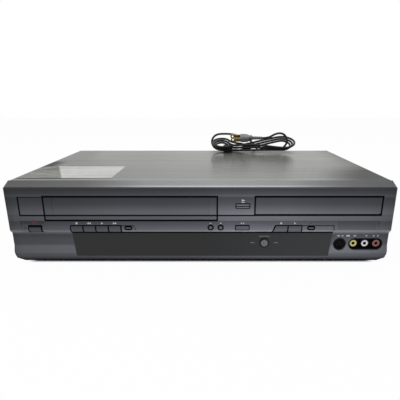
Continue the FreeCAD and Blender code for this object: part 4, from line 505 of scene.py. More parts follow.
def ringedPlastic(name, colour, centre, rings):
    # its tone is painted lighter or darker in rings round a centre on the face: from, to and strength
    def tone(paint):
        reach = paint.distance(paint.x - centre[0], paint.z - centre[1])
        level = 1.0
        for inner, outer, strength in rings:
            level = level * (1 - paint.band(reach, inner, outer, 0.00008) * (1 - strength))
        rear = paint.rise(paint.y, 0.0, 0.01)
        return level * (1 - rear) + rear
    return mouldedPlastic(name, colour, (0.28, 0.43), depth=0.00001, specular=0.5, tone=tone)


def zincSteel(name, colour, spangle=0.006):
    paint = Paint(name)
    flower = paint.cells(spangle, out="Color")
    flower = paint.node("ShaderNodeSeparateColor", sockets={0: flower})
    brushed = paint.noise(0.0006, 2.0, paint.stretched((0.05, 1, 1)))
    level = paint.rise(flower, 0.0, 1.0, 0.9, 1.06) * paint.spread(brushed, 0.97, 1.03)
    return paint.finish({
        "Base Color": paint.tint(colour, level),
        "Metallic": 0.85,
        "Roughness": paint.rise(flower, 0.0, 1.0, 0.34, 0.48),
        "Normal": paint.bump(brushed, 0.000006),
    })


def turnedMetal(name, centre, lean=0.0):
    paint = Paint(name)
    local = paint.node("ShaderNodeMapping", {"vector_type": "TEXTURE"}, {
        "Vector": paint.place, "Location": centre, "Rotation": (lean, 0, 0)})
    across, along, up = paint.split(local)
    reach = paint.distance(across, along)
    rings = paint.noise(0.0004, 1.0, paint.node("ShaderNodeCombineXYZ", sockets={0: reach, 1: up, 2: 0.0}))
    return paint.finish({
        "Base Color": paint.tint(shade(198, 200, 203), paint.spread(rings, 0.88, 1.05)),
        "Metallic": 0.95,
        "Roughness": paint.spread(rings, 0.2, 0.34),
        "Normal": paint.bump(rings, 0.00001),
    })


def platedMetal(name, colour, rough=0.18):
    paint = Paint(name)
    marks = paint.noise(0.0007, 3.0)
    return paint.finish({
        "Base Color": paint.tint(colour, paint.spread(marks, 0.93, 1.04)),
        "Metallic": 1.0,
        "Roughness": paint.rise(marks, 0.35, 0.7, rough, rough + 0.12),
        "Normal": paint.bump(marks, 0.000005),
    })


def circuitBoard(name, low, high, parts, across="z"):
    # green lacquer between two heights or depths, and the parts on it beyond
    paint = Paint(name)
    value = {"y": paint.y, "z": paint.z}[across]
    sheet = paint.band(value, low - 0.0001, high + 0.0001, 0.00004)
    turn = (0, 0, radians(45)) if across == "z" else (radians(90), 0, 0)
    tracks = paint.node("ShaderNodeTexBrick", {"offset": 0.5}, {
        "Vector": paint.stretched(turn=turn), "Scale": 160.0, "Mortar Size": 0.12,
        "Color1": shade(18, 74, 44), "Color2": shade(22, 82, 50), "Mortar": shade(40, 110, 66)})
    pads = 1 - paint.rise(paint.cells(0.0045), 0.1, 0.14)
    green = paint.mix(pads, tracks, shade(176, 172, 150))
    cloud = paint.speckle(0.01, 0.85, 1.1, 3.0)
    colour = paint.mix(sheet, paint.tint(parts, cloud), green)
    return paint.finish({
        "Base Color": colour,
        "Roughness": paint.rise(cloud, 0.85, 1.1, 0.35, 0.5),
        "Normal": paint.bump(pads, 0.00003),
    })


def cordRubber(name, colour, rough=(0.34, 0.52)):
    return mouldedPlastic(name, colour, rough, 0.0012, specular=0.3, clouds=(0.009, 0.8, 1.25))


def paperLabel():
    # darker and patchy on the left of a slanted edge
    label = {"white": shade(199, 198, 192), "leftTone": shade(120, 120, 112), "front": -0.1001, "lean": 0.4517,
             "edge": -0.1588}
    paint = Paint("paperLabel")
    fibre = paint.noise(0.0006, 4.0)
    soft = paint.speckle(0.01, 0.93, 1.05, 3.0)
    patches = paint.speckle(0.006, 0.7, 1.3, 4.0, paint.stretched((0.5, 1, 1)))
    rules = paint.noise(0.004, 1.0, paint.stretched((0.03, 1, 1)))
    across = paint.x + (paint.y - label["front"]) * label["lean"]
    leftOfEdge = paint.rise(across, label["edge"] - 0.002, label["edge"] + 0.001, 1.0, 0.0)
    deep = paint.rise(paint.x - paint.y * 0.9, -0.168, -0.150) * paint.rise(paint.y, -0.075, -0.045)
    ruled = paint.tint(label["white"], paint.rise(rules, 0.35, 0.65, 0.78, 1.12))
    colour = paint.mix(leftOfEdge, ruled, paint.tint(label["leftTone"], patches * (1 - deep * 0.6)))
    return paint.finish({
        "Base Color": paint.tint(colour, soft),
        "Roughness": paint.spread(fibre, 0.4, 0.55),
        "Specular IOR Level": 0.3,
        "Normal": paint.bump(fibre, 0.000008),
    })


def printInk(name, colour):
    paint = Paint(name)
    ragged = paint.speckle(0.0004, 0.85, 1.05, 2.0)
    return paint.finish({
        "Base Color": paint.tint(colour, ragged),
        "Roughness": paint.rise(ragged, 0.85, 1.05, 0.45, 0.6),
        "Specular IOR Level": 0.3,
    })


coverFinish = coverPaint()
windowFinish = smokedWindow()
blackPlastic = mouldedPlastic("blackPlastic", shade(14, 14, 15))
socketBlack = mouldedPlastic("socketBlack", shade(8, 8, 9), (0.53, 0.68), specular=0.1)
# a lighter centre and a darker ring, and painted shade in the outer ring round the key's edge
inputKey = ringedPlastic("inputKey", shade(112, 113, 112), (0.0735, 0.0267), [
    (-0.001, 0.0005, 1.35), (0.0010, 0.0016, 0.45), (0.0037, 0.0100, 0.03)])
# painted shade in the hole of each jack
jackHoleShade = [(-0.001, 0.0019, 0.02)]
yellowPlastic = ringedPlastic("yellowPlastic", shade(238, 224, 116), (0.1782, 0.0245), jackHoleShade)
whitePlastic = ringedPlastic("whitePlastic", shade(250, 246, 252), (0.1915, 0.0245), jackHoleShade)
redPlastic = ringedPlastic("redPlastic", shade(156, 76, 72), (0.2048, 0.0245), jackHoleShade)
lampLens = mouldedPlastic("lampLens", shade(40, 12, 14), (0.08, 0.23), specular=0.5)
trayPlastic = mouldedPlastic("trayPlastic", shade(46, 47, 50), (0.38, 0.53))
chassisSteel = zincSteel("chassisSteel", shade(168, 172, 174))
pressedSteel = zincSteel("pressedSteel", shade(182, 184, 186), 0.012)
nickel = platedMetal("nickel", shade(200, 200, 196))
shellMetal = platedMetal("shellMetal", shade(128, 127, 122), 0.3)
brass = platedMetal("brass", shade(178, 158, 112), 0.22)
drumFinish = turnedMetal("turnedDrum", (-0.07815, 0.0565, 0.0315), radians(5))
capstanFinish = turnedMetal("turnedCapstan", (-0.01615, 0.0385, 0.0))
mainBoardFinish = circuitBoard("mainBoardFinish", 0.014, 0.0156, shade(28, 28, 30))
powerBoardFinish = circuitBoard("powerBoardFinish", 0.014, 0.0156, shade(70, 66, 58))
frontBoardFinish = circuitBoard("frontBoardFinish", -0.1065, -0.1049, shade(30, 30, 32), "y")
footRubber = mouldedPlastic("footRubber", shade(20, 20, 21), (0.58, 0.73))
cordFinish = cordRubber("cordRubber", shade(19, 19, 18))
plugFinish = cordRubber("plugRubber", shade(112, 112, 113), (0.32, 0.5))
reliefFinish = cordRubber("reliefRubber", shade(30, 30, 30), (0.42, 0.6))
tieFinish = cordRubber("tieRubber", shade(24, 24, 25), (0.52, 0.7))
labelFinish = paperLabel()
paleInk = printInk("paleInk", shade(205, 207, 210))
dimInk = printInk("dimInk", shade(118, 119, 119))
redInk = printInk("redInk", shade(122, 42, 56))

dress(bezelPaint, "front_bezel")
dress(doorPaint, "cassette_door")
dress(trayPaint, "tray_front")
dress(keyPaint, "power_button", "tape_stop_key", "tape_rewind_key", "tape_play_key", "tape_forward_key",
      "disc_stop_key", "disc_play_key")
dress(buttonPaint, "tape_record_button", "disc_record_button", "channel_down_button", "channel_up_button",
      "dubbing_button", "tray_button")
dress(inputKey, "input_button")
dress(windowFinish, "display_window")
dress(lampLens, "standby_lamp")
dress(socketBlack, "s_video_socket", "front_jack_block")
dress(blackPlastic, "rear_jack_block", "fan_frame", "fan_rotor", "supply_reel", "takeup_reel", "drive_frame",
      "turntable", "pickup")
dress(trayPlastic, "disc_tray")
dress(yellowPlastic, "video_insulator")
dress(whitePlastic, "audio_left_insulator", "clamp_disc")
dress(redPlastic, "audio_right_insulator")
dress(nickel, "aerial_sockets", "cover_screws")
dress(shellMetal, "jack_shells")
dress(coverFinish, "top_cover")
dress(chassisSteel, "base_chassis", "rear_panel", "tuner_can")
dress(pressedSteel, "deck_plate", "loading_frame", "holder_slider", "cassette_holder", "clamp_bridge",
      "traverse")
dress(drumFinish, "drum_base", "head_drum")
dress(capstanFinish, "capstan")
dress(mainBoardFinish, "main_board")
dress(powerBoardFinish, "power_board")
dress(frontBoardFinish, "front_board")
dress(footRubber, "feet")
print("finishes made:", len(bpy.data.materials))


# camera, floor and lights

camera = bpy.data.objects.new("photoCamera", bpy.data.cameras.new("photoCamera"))
scene.collection.objects.link(camera)
camera.location = (0.0109, -0.4953, 0.1891)
camera.rotation_euler = (radians(90 - 16.34), 0, 0)
camera.data.sensor_width = 36
camera.data.lens = 31.76
camera.data.shift_x = -0.02525
camera.data.clip_start = 0.01
scene.camera = camera


def deselectAll():
    bpy.ops.object.select_all(action="DESELECT")


def activate(piece):
    deselectAll()
    piece.select_set(True)
    bpy.context.view_layer.objects.active = piece


def settle(piece):  # the piece's place goes into its mesh
    activate(piece)
    bpy.ops.object.transform_apply(location=True, rotation=True, scale=True)


def makeFloor():
    floor = {"size": 6.0, "drop": 0.0002, "colour": shade(250, 250, 250), "glow": 0.965,
             "shadowHalf": 0.196, "shadowFront": -0.1135, "shadowBack": 0.105}
    deselectAll()
    bpy.ops.mesh.primitive_plane_add(size=floor["size"], location=(0, 0, -floor["drop"]))
    piece = bpy.context.object
    piece.name = "paleFloor"
    settle(piece)
    paint = Paint("paleFloor")
    cloth = paint.node("ShaderNodeBsdfDiffuse", sockets={"Color": floor["colour"]})
    light = paint.node("ShaderNodeEmission", sockets={"Color": (1, 1, 1, 1), "Strength": 1.0})
    # plain shadow under the recorder
    under = paint.rise(abs(paint.x), floor["shadowHalf"], floor["shadowHalf"] + 0.012, 1.0, 0.0)
    under = under * paint.rise(paint.y, floor["shadowFront"], floor["shadowFront"] + 0.005)
    under = under * paint.rise(paint.y, floor["shadowBack"], floor["shadowBack"] + 0.005, 1.0, 0.0)
    glow = paint.direct() * (floor["glow"] - under * floor["glow"])
    paint.close(paint.node("ShaderNodeMixShader", sockets={0: glow, 1: cloth, 2: light}))
    piece.data.materials.append(paint.material)


def makeWorld():
    world = bpy.data.worlds.new("studioRoom")
    scene.world = world
    graph = Graph(world)
    room = graph.node("ShaderNodeBackground", sockets={"Color": (0.93, 0.96, 1.0, 1), "Strength": 0.55})
    white = graph.node("ShaderNodeBackground", sockets={"Color": (1, 1, 1, 1), "Strength": 1.0})
    both = graph.node("ShaderNodeMixShader", sockets={0: graph.direct(), 1: room, 2: white})
    graph.close(both, "ShaderNodeOutputWorld")


def makeLamp(name, place, target, size, power):
    data = bpy.data.lights.new(name, "AREA")
    data.shape = "RECTANGLE"
    data.size, data.size_y = size
    data.energy = power
    lamp = bpy.data.objects.new(name, data)
    scene.collection.objects.link(lamp)
    lamp.location = place
    lamp.rotation_euler = (Vector(target) - Vector(place)).to_track_quat("-Z", "Y").to_euler()


makeFloor()
makeWorld()
makeLamp("overheadSoftbox", (0.05, -0.55, 1.25), (0, 0, 0.08), (1.3, 0.6), 4.4)
makeLamp("rearSoftbox", (0.1, 0.9, 1.1), (0, 0, 0.1), (1.4, 0.7), 2.6)
makeLamp("sideFill", (-1.1, -0.5, 0.6), (0, 0, 0.06), (0.8, 0.8), 3.0)
print("camera, floor and lights placed")


# mains cord: one length from the strain relief, through the hank, to the plug

cord = {"diameter": 0.0034, "exit": (0.118, 0.1324, 0.030), "length": 1.29}
hank = {
    "turns": 3, "middleY": 0.096, "low": 0.1015, "pitch": 0.0042, "tie": 0.0046,
    "leftX": 0.0318, "leftReach": 0.0118, "leftGrowth": 0.0022,
    "rightX": 0.130, "rightReach": 0.0140, "rightGrowth": 0.0034,
    "half": 0.0110, "backGrowth": 0.0022, "frontGrowth": 0.0034,
    "rightLower": 0.1052, "leftLower": 0.1064, "lowerStep": 0.0021,
    "rightUpper": 0.1172, "leftUpper": 0.1140, "upperStep": 0.0032,
}


def roundEnd(x, reach, back, fore, upper, lower, side):
    # an open end of a turn, from its back run round to its fore run
    spread = 1 / cos(radians(22.5))
    wide, tall = (back + fore) / 2, (upper - lower) / 2
    run = side * 2 * sqrt(wide * wide + tall * tall) * tan(radians(22.5))
    middle = hank["middleY"] + (back - fore) / 2
    points = []
    for angle in (67.5, 22.5, -22.5, -67.5):
        along, across = cos(radians(angle)) * spread, sin(radians(angle)) * spread
        points.append((x + side * reach * along, middle + wide * across, (upper + lower) / 2 + tall * across))
    first, last = points[0], points[-1]
    before = (first[0] - run, first[1] - 0.0007, first[2] - 0.0003)
    after = (last[0] - run, last[1] + 0.0007, last[2])
    return [before] + points + [after]


def hankTurn(turn):
    y = hank["middleY"]
    back = hank["half"] + turn * hank["backGrowth"]
    fore = hank["half"] + turn * hank["frontGrowth"]
    tied = hank["low"] + turn * hank["pitch"]
    upper, lower = turn * hank["upperStep"], turn * hank["lowerStep"]
    rightEnd = roundEnd(hank["rightX"], hank["rightReach"] + turn * hank["rightGrowth"], back, fore,
                        hank["rightUpper"] + upper, hank["rightLower"] + lower, 1)
    leftEnd = roundEnd(hank["leftX"], hank["leftReach"] + turn * hank["leftGrowth"], back, fore,
                       hank["leftUpper"] + upper, hank["leftLower"] + lower, -1)
    return [
        (0.048, y + hank["tie"], tied), (0.064, y + hank["tie"], tied + 0.0006), *rightEnd,
        (0.090, y - 0.0076, tied + 0.0030), (0.064, y - hank["tie"], tied + 0.0021),
        (0.050, y - hank["tie"], tied + 0.0021), *leftEnd[::-1],
    ]


def cordPoints():
    points = [
        cord["exit"], (0.118, 0.1464, 0.030), (0.116, 0.1594, 0.042), (0.111, 0.1634, 0.061),
        (0.104, 0.1604, 0.082), (0.095, 0.1514, 0.101), (0.083, 0.1364, 0.114), (0.068, 0.1195, 0.1225),
        (0.051, 0.1100, 0.1275), (0.0379, 0.1066, 0.1291), (0.0201, 0.1046, 0.1285), (0.0124, 0.1040, 0.1170),
        (0.018, 0.1040, 0.1045), (0.033, 0.1030, 0.1012),
    ]
    for turn in range(hank["turns"]):
        points += hankTurn(turn)
    return points + [
        (0.046, 0.0985, 0.1160), (0.068, 0.0968, 0.1126), (0.095, 0.0960, 0.1062),
        (0.1182, 0.0960, 0.1052), (0.1309, 0.0960, 0.1052), (0.1385, 0.0955, 0.1128),
        (0.1385, 0.0950, 0.1236), (0.1309, 0.0950, 0.1312), (0.1195, 0.0955, 0.1305),
        (0.1075, 0.0960, 0.1230), (0.0975, 0.0960, 0.1230),
    ]


def makeCord():
    curve = bpy.data.curves.new("mainsCord", "CURVE")
    curve.dimensions = "3D"
    spline = curve.splines.new("NURBS")
    points = cordPoints()
    spline.points.add(len(points) - 1)
    for point, place in zip(spline.points, points):
        point.co = (*place, 1.0)
    spline.order_u = 3
    spline.use_endpoint_u = True
    spline.resolution_u = 10
    curve.bevel_depth = cord["diameter"] / 2
    curve.bevel_resolution = 4
    curve.use_fill_caps = True
    piece = bpy.data.objects.new("mainsCord", curve)
    scene.collection.objects.link(piece)
    curve.materials.append(cordFinish)
    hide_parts("mains_cord", "cord_hank", "plug_lead")
    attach(piece, "chassis")
    return piece


def finishPiece(piece, material, body, sharp=30):
    activate(piece)
    bpy.ops.object.shade_smooth_by_angle(angle=radians(sharp))
    piece.data.materials.clear()
    piece.data.materials.append(material)
    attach(piece, body)
    return piece


def addModifier(piece, kind, **settings):
    activate(piece)
    change = piece.modifiers.new(kind.title(), kind)
    for name, value in settings.items():
        setattr(change, name, value)
    bpy.ops.object.modifier_apply(modifier=change.name)


def cut(piece, tool):
    addModifier(piece, "BOOLEAN", operation="DIFFERENCE", object=tool, solver="EXACT")
    bpy.data.objects.remove(tool)


def roundEdges(piece, width):
    addModifier(piece, "BEVEL", width=width, segments=2, limit_method="ANGLE")


def pick(piece, kind, test):  # selects edges or faces in edit mode
    bpy.ops.mesh.select_mode(type=kind)
    bpy.ops.mesh.select_all(action="DESELECT")
    mesh = bmesh.from_edit_mesh(piece.data)
    for part in mesh.edges if kind == "EDGE" else mesh.faces:
        part.select_set(test(part))
    bmesh.update_edit_mesh(piece.data)


def push(way):
    bpy.ops.mesh.extrude_region_move(TRANSFORM_OT_translate={"value": way})


def leaveMesh():  # with all faces turned outward
    bpy.ops.mesh.select_all(action="SELECT")
    bpy.ops.mesh.normals_make_consistent(inside=False)
    bpy.ops.object.mode_set(mode="OBJECT")


def joinPieces(name, pieces):
    deselectAll()
    for piece in pieces:
        piece.select_set(True)
    bpy.context.view_layer.objects.active = pieces[0]
    if len(pieces) > 1:
        bpy.ops.object.join()
    joined = bpy.context.object
    joined.name = joined.data.name = name
    return joined


def turnedPiece(name, start, way, rings, sides=32):
    # rings along the way: distance from the start and radius
    deselectAll()
    along, radius = rings[0]
    bpy.ops.mesh.primitive_circle_add(vertices=sides, radius=radius, fill_type="NGON", location=(0, 0, along))
    piece = bpy.context.object
    piece.name = piece.data.name = name
    bpy.ops.object.mode_set(mode="EDIT")
    bpy.ops.mesh.select_mode(type="FACE")
    bpy.ops.mesh.select_all(action="SELECT")
    for (lastAlong, lastRadius), (along, radius) in zip(rings, rings[1:]):
        push((0, 0, along - lastAlong))
        ratio = radius / lastRadius
        bpy.ops.transform.resize(value=(ratio, ratio, 1), center_override=(0, 0, along))
    leaveMesh()
    settle(piece)
    piece.rotation_mode = "QUATERNION"
    piece.rotation_quaternion = Vector((0, 0, 1)).rotation_difference(Vector(way))
    piece.location = start
    settle(piece)
    return piece


def startSheet(name, place, size, turn, corner, segments):
    # a flat sheet with rounded corners, left in edit mode with its face picked
    deselectAll()
    bpy.ops.mesh.primitive_plane_add(size=1, location=place, rotation=turn)
    piece = bpy.context.object
    piece.name = piece.data.name = name
    piece.scale = (*size, 1)
    settle(piece)
    bpy.ops.object.mode_set(mode="EDIT")
    bpy.ops.mesh.select_all(action="SELECT")
    bpy.ops.mesh.bevel(offset=corner, segments=segments, affect="VERTICES")
    bpy.ops.mesh.select_mode(type="FACE")
    bpy.ops.mesh.select_all(action="SELECT")
    return piece


def startBlock(name, low, high):
    deselectAll()
    bpy.ops.mesh.primitive_cube_add(size=1, location=[(a + b) / 2 for a, b in zip(low, high)])
    piece = bpy.context.object
    piece.name = piece.data.name = name
    piece.scale = [b - a for a, b in zip(low, high)]
    settle(piece)
    return piece


# plug, blades and strain reliefs

plug = {
    "start": 0.061, "y": 0.096, "z": 0.1230, "roll": 20, "corner": 0.0026,
    "bladeLength": 0.016, "bladeWidth": 0.0063, "bladeThick": 0.0015, "bladeCorner": 0.0022,
    "spacing": 0.0127, "hole": 0.0016, "holeFromTip": 0.0036,
    "sections": [  # distance from the start, width and height
        (0.0000, 0.0150, 0.0075), (0.0006, 0.0162, 0.0087), (0.0020, 0.0170, 0.0095),
        (0.0120, 0.0158, 0.0088), (0.0138, 0.0120, 0.0078), (0.0155, 0.0090, 0.0068),
        (0.0165, 0.0080, 0.0064), (0.0168, 0.0106, 0.0080), (0.0186, 0.0106, 0.0080),
        (0.0189, 0.0076, 0.0062), (0.0200, 0.0068, 0.0062),
    ],
    "tail": {"along": 0.0206, "step": 0.0030, "radius": 0.0031, "taper": 0.00012, "groove": 0.0009},
}


def rollPlug(piece):
    activate(piece)
    turn = Matrix.Translation((0, plug["y"], plug["z"])) @ Matrix.Rotation(radians(plug["roll"]), 4, "X")
    piece.matrix_world = turn @ Matrix.Translation((0, -plug["y"], -plug["z"])) @ piece.matrix_world
    settle(piece)


def ribs(row):  # five ribs of a strain relief: where, their radius and that of the grooves
    for step in range(5):
        radius = row["radius"] - step * row["taper"]
        yield row["along"] + step * row["step"], radius, radius - row["groove"]


def makePlugBody():
    middle = (plug["start"], plug["y"], plug["z"])
    wide, tall = plug["sections"][0][1:]
    body = startSheet("plugBody", middle, (tall, wide), (0, radians(90), 0), plug["corner"], 4)
    for last, new in zip(plug["sections"], plug["sections"][1:]):
        push((new[0] - last[0], 0, 0))
        bpy.ops.transform.resize(value=(1, new[1] / last[1], new[2] / last[2]),
                                 center_override=(plug["start"] + new[0], plug["y"], plug["z"]))
    leaveMesh()
    rings = [(0.0195, 0.0031)]
    for along, radius, groove in ribs(plug["tail"]):
        rings += [(along, radius), (along + 0.0002, groove), (along + 0.0011, groove),
                  (along + 0.0013, radius)]
    rings += [(0.0355, 0.0024), (0.0367, 0.0020)]
    tail = turnedPiece("plugTail", middle, (1, 0, 0), rings, 24)
    piece = joinPieces("plugBody", [body, tail])
    rollPlug(piece)
    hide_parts("mains_plug")
    return finishPiece(piece, plugFinish, "chassis", 40)


def makePlugBlades():
    half = plug["bladeThick"] / 2
    tip = plug["start"] - plug["bladeLength"]

    def atTip(edge):
        first, last = [vertex.co for vertex in edge.verts]
        return max(first.x, last.x) < tip + 0.0001 and abs(first.y - last.y) > half

    blades = []
    for side in (-1, 1):
        y = plug["y"] + side * plug["spacing"] / 2
        low = (tip, y - half, plug["z"] - plug["bladeWidth"] / 2)
        high = (plug["start"] + 0.001, y + half, plug["z"] + plug["bladeWidth"] / 2)
        blade = startBlock("plugBlade", low, high)
        bpy.ops.object.mode_set(mode="EDIT")
        pick(blade, "EDGE", atTip)
        bpy.ops.mesh.bevel(offset=plug["bladeCorner"], segments=5)
        bpy.ops.object.mode_set(mode="OBJECT")
        drill = turnedPiece("bladeDrill", (tip + plug["holeFromTip"], y - 0.004, plug["z"]), (0, 1, 0),
                            [(0, plug["hole"]), (0.008, plug["hole"])], 20)
        cut(blade, drill)
        roundEdges(blade, 0.00015)
        blades.append(blade)
    piece = joinPieces("plugBlades", blades)
    rollPlug(piece)
    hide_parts("plug_blades")
    return finishPiece(piece, brass, "chassis")


def makeCordRelief():
    relief = {"panel": 0.1124, "along": 0.0040, "step": 0.0031, "radius": 0.0052, "taper": 0.00037,
              "groove": 0.0013}
    rings = [
        (-0.0050, 0.0068), (-0.0011, 0.0068), (-0.0010, 0.00515), (0.0001, 0.00515), (0.0001, 0.0067),
        (0.0005, 0.0072), (0.0020, 0.0072), (0.0025, 0.0067),
    ]
    for along, radius, groove in ribs(relief):
        rings += [(along - 0.0014, radius), (along, radius), (along + 0.0002, groove),
                  (along + 0.0013, groove), (along + 0.0015, radius - 0.0002)]
    rings += [(0.0194, 0.0032), (0.0200, 0.0025)]
    place = (cord["exit"][0], relief["panel"], cord["exit"][2])
    piece = turnedPiece("cordGrommet", place, (0, 1, 0), rings)
    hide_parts("cord_relief")
    return finishPiece(piece, reliefFinish, "chassis", 40)


def makeCordTie():
    # a soft band wound round the tied strands, open at both ends
    tie = {"left": 0.0335, "right": 0.0475, "low": 0.0996, "high": 0.1116, "thick": 0.0011, "corner": 0.0028}
    half = hank["tie"] + cord["diameter"] / 2 + tie["thick"]
    low = (tie["left"], hank["middleY"] - half, tie["low"])
    high = (tie["right"], hank["middleY"] + half, tie["high"])
    piece = startBlock("cordTie", low, high)
    bpy.ops.object.mode_set(mode="EDIT")
    pick(piece, "EDGE", lambda edge: abs(edge.verts[0].co.x - edge.verts[1].co.x) > 0.005)
    bpy.ops.mesh.bevel(offset=tie["corner"], segments=5)
    pick(piece, "FACE", lambda face: abs(face.normal.x) > 0.9)
    bpy.ops.mesh.delete(type="FACE")
    bpy.ops.object.mode_set(mode="OBJECT")
    addModifier(piece, "SOLIDIFY", thickness=tie["thick"], offset=-1.0)
    roundEdges(piece, 0.0004)
    return finishPiece(piece, tieFinish, "chassis", 40)


mainsCord = makeCord()
plugBody = makePlugBody()
plugBlades = makePlugBlades()
cordGrommet = makeCordRelief()
makeCordTie()
print("cord and plug made")


# bare label on the cover

def makeLabel():
    label = {"left": -0.207, "right": -0.102, "front": -0.1001, "back": -0.0308, "thick": 0.00012,
             "corner": 0.002}
    middle = ((label["left"] + label["right"]) / 2, (label["front"] + label["back"]) / 2, coverTop + 0.00001)
    size = (label["right"] - label["left"], label["back"] - label["front"])
    piece = startSheet("coverLabel", middle, size, (0, 0, 0), label["corner"], 5)
    push((0, 0, label["thick"]))
    leaveMesh()
    finishPiece(piece, labelFinish, "chassis")


# cross-recess screws of the cover

def makeScrews():
    screw = {"head": 0.0034, "height": 0.0016, "shank": 0.0014, "slot": 0.0008, "reach": 0.0019,
             "depth": 0.0011, "side": 0.214, "sideY": (-0.062, 0.072), "sideZ": 0.0145,
             "rearX": (-0.15, 0.0, 0.15), "rearZ": 0.094}
    head = screw["head"]
    rings = [
        (-0.004, screw["shank"]), (0, screw["shank"]), (0.00001, head), (0.0005, head), (0.0011, head * 0.86),
        (0.00145, head * 0.6), (screw["height"], head * 0.2),
    ]
    places = []
    for side in (-1, 1):
        places += [((side * screw["side"], y, screw["sideZ"]), (side, 0, 0)) for y in screw["sideY"]]
    places += [((x, coverRear, screw["rearZ"]), (0, 1, 0)) for x in screw["rearX"]]
    screws = []
    for place, way in places:
        piece = turnedPiece("screw", place, way, rings, 24)
        centre = Vector(place) + Vector(way) * (screw["height"] + 0.001)
        for turn in (0, 1):
            across = [screw["reach"], screw["slot"] / 2] if turn else [screw["slot"] / 2, screw["reach"]]
            if way[0]:
                half = Vector((screw["depth"] + 0.001, *across))
            else:
                half = Vector((across[0], screw["depth"] + 0.001, across[1]))
            cut(piece, startBlock("crossCutter", centre - half, centre + half))
        screws.append(piece)
    piece = joinPieces("coverScrews", screws)
    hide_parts("cover_screws")
    finishPiece(piece, nickel, "chassis", 35)


# dark woven sheets that stand in for shade behind the slots in the sides and the back, and in front of the
# fan

def wovenShadeSheet():
    paint = Paint("slotShadeSheet")
    sockets = {"Vector": paint.place, "Scale": 260.0}
    threads = paint.node("ShaderNodeTexWave", {"bands_direction": "Y"}, sockets)
    cross = paint.node("ShaderNodeTexWave", {"bands_direction": "Z"}, sockets)
    weave = threads * 0.5 + cross * 0.5
    return paint.finish({
        "Base Color": paint.tint(shade(26, 26, 27), weave * 0.5 + 0.7),
        "Roughness": paint.rise(weave, 0.2, 0.8, 0.8, 0.95),
        "Specular IOR Level": 0.1,
        "Normal": paint.bump(weave, 0.00005),
    })


def makeShadeSheets():
    # each dark sheet: middle, size across and up, and the way it faces
    cloth = {"thick": 0.0005, "corner": 0.003, "places": {
        "leftSlotShade": ((-0.21285, -0.006, 0.0685), (0.1, 0.028), (-1, 0)),
        "rightSlotShade": ((0.21285, -0.006, 0.0685), (0.1, 0.028), (1, 0)),
        "rearSlotShade": ((0.134, 0.1108, 0.069), (0.114, 0.026), (0, 1)),
        "fanShadeSheet": ((0.038, 0.1010, 0.062), (0.038, 0.038), (0, 1)),
    }}
    finish = wovenShadeSheet()
    for name, (middle, size, facing) in cloth["places"].items():
        if facing[0]:
            piece = startSheet(name, middle, size[::-1], (0, radians(90), 0), cloth["corner"], 4)
        else:
            piece = startSheet(name, middle, size, (radians(90), 0, 0), cloth["corner"], 4)
        push((-facing[0] * cloth["thick"], -facing[1] * cloth["thick"], 0))
        leaveMesh()
        finishPiece(piece, finish, "chassis")


# printed marks on the face

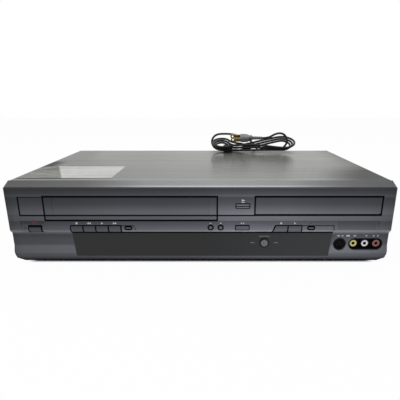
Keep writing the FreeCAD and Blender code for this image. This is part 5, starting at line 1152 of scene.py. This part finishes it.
symbolZ = 0.0512
outlines = {  # corners, degrees turned, and width and height of the plain shape
    "square": (4, 45, sqrt(2), sqrt(2)),
    "triangle": (3, -90, 1.5, sqrt(3)),
    "dot": (16, 0, 2.0, 2.0),
}
tapeSymbols = [  # shape, centre, width and height; a triangle with a negative width points left
    ("square", -0.1406, symbolZ, 0.0021, 0.0021),
    ("triangle", -0.1273, symbolZ, -0.0021, 0.0024),
    ("triangle", -0.1251, symbolZ, -0.0021, 0.0024),
    ("triangle", -0.1118, symbolZ, 0.0024, 0.0024),
    ("triangle", -0.0985, symbolZ, 0.0021, 0.0024),
    ("triangle", -0.0963, symbolZ, 0.0021, 0.0024),
]
discSymbols = [
    ("square", 0.0915, symbolZ, 0.0021, 0.0021),
    ("triangle", 0.1070, symbolZ, 0.0024, 0.0024),
    ("triangle", 0.0115, symbolZ, -0.0020, 0.0018),
    ("triangle", 0.0229, symbolZ, 0.0020, 0.0018),
    ("triangle", 0.0465, symbolZ, 0.0020, 0.0018),
    ("triangle", 0.0490, symbolZ, 0.0020, 0.0018),
    ("triangle", 0.0475, 0.0784, 0.0040, -0.0026),
    ("square", 0.0475, 0.0761, 0.0034, 0.0008),
    ("square", 0.1593, 0.0347, 0.0030, 0.0013),
    ("square", 0.1640, 0.0347, 0.0022, 0.0013),
    ("square", 0.1705, 0.0347, 0.0042, 0.0020),
    ("square", 0.1782, 0.0347, 0.0030, 0.0013),
    ("square", 0.1915, 0.0347, 0.0022, 0.0011),
    ("square", 0.2000, 0.0347, 0.0018, 0.0011),
    ("square", 0.2048, 0.0347, 0.0018, 0.0011),
]
windowMarks = [
    ("square", 0.0735, 0.0345, 0.0120, 0.0009),
    ("square", 0.0600, 0.0267, 0.0050, 0.0010),
    ("square", 0.0870, 0.0267, 0.0050, 0.0010),
]
redMarks = [
    ("dot", -0.0825, symbolZ, 0.0022, 0.0016),
    ("dot", 0.1258, symbolZ, 0.0022, 0.0016),
    ("square", -0.1885, 0.0518, 0.0052, 0.0010),
]


def flatShape(kind, x, z, wide, tall):  # stands in front of the face
    corners, turn, across, up = outlines[kind]
    deselectAll()
    bpy.ops.mesh.primitive_circle_add(
        vertices=corners, radius=1, fill_type="NGON", rotation=(0, 0, radians(turn)))
    piece = bpy.context.object
    settle(piece)
    piece.rotation_euler = (radians(90), 0, 0)
    piece.scale = (wide / across, tall / up, 1)
    piece.location = (x, faceY - 0.004, z)
    settle(piece)
    return piece


def printOn(name, shapes, target, ink):
    piece = joinPieces(name, [flatShape(*shape) for shape in shapes])
    activate(piece)
    bpy.ops.object.mode_set(mode="EDIT")
    leaveMesh()
    addModifier(piece, "SHRINKWRAP", wrap_method="PROJECT", target=nodes[target], offset=0.00002,
                use_project_x=False, use_project_y=True, use_project_z=False,
                use_negative_direction=True, use_positive_direction=True)
    addModifier(piece, "SOLIDIFY", thickness=0.00003, offset=0.0)
    finishPiece(piece, ink, "chassis")


makeLabel()
makeScrews()
makeShadeSheets()
printOn("tapeSymbols", tapeSymbols, "front_bezel", paleInk)
printOn("discSymbols", discSymbols, "front_bezel", paleInk)
printOn("windowMarks", windowMarks, "display_window", dimInk)
printOn("redMarks", redMarks, "front_bezel", redInk)
print("label, screws and printed marks made")
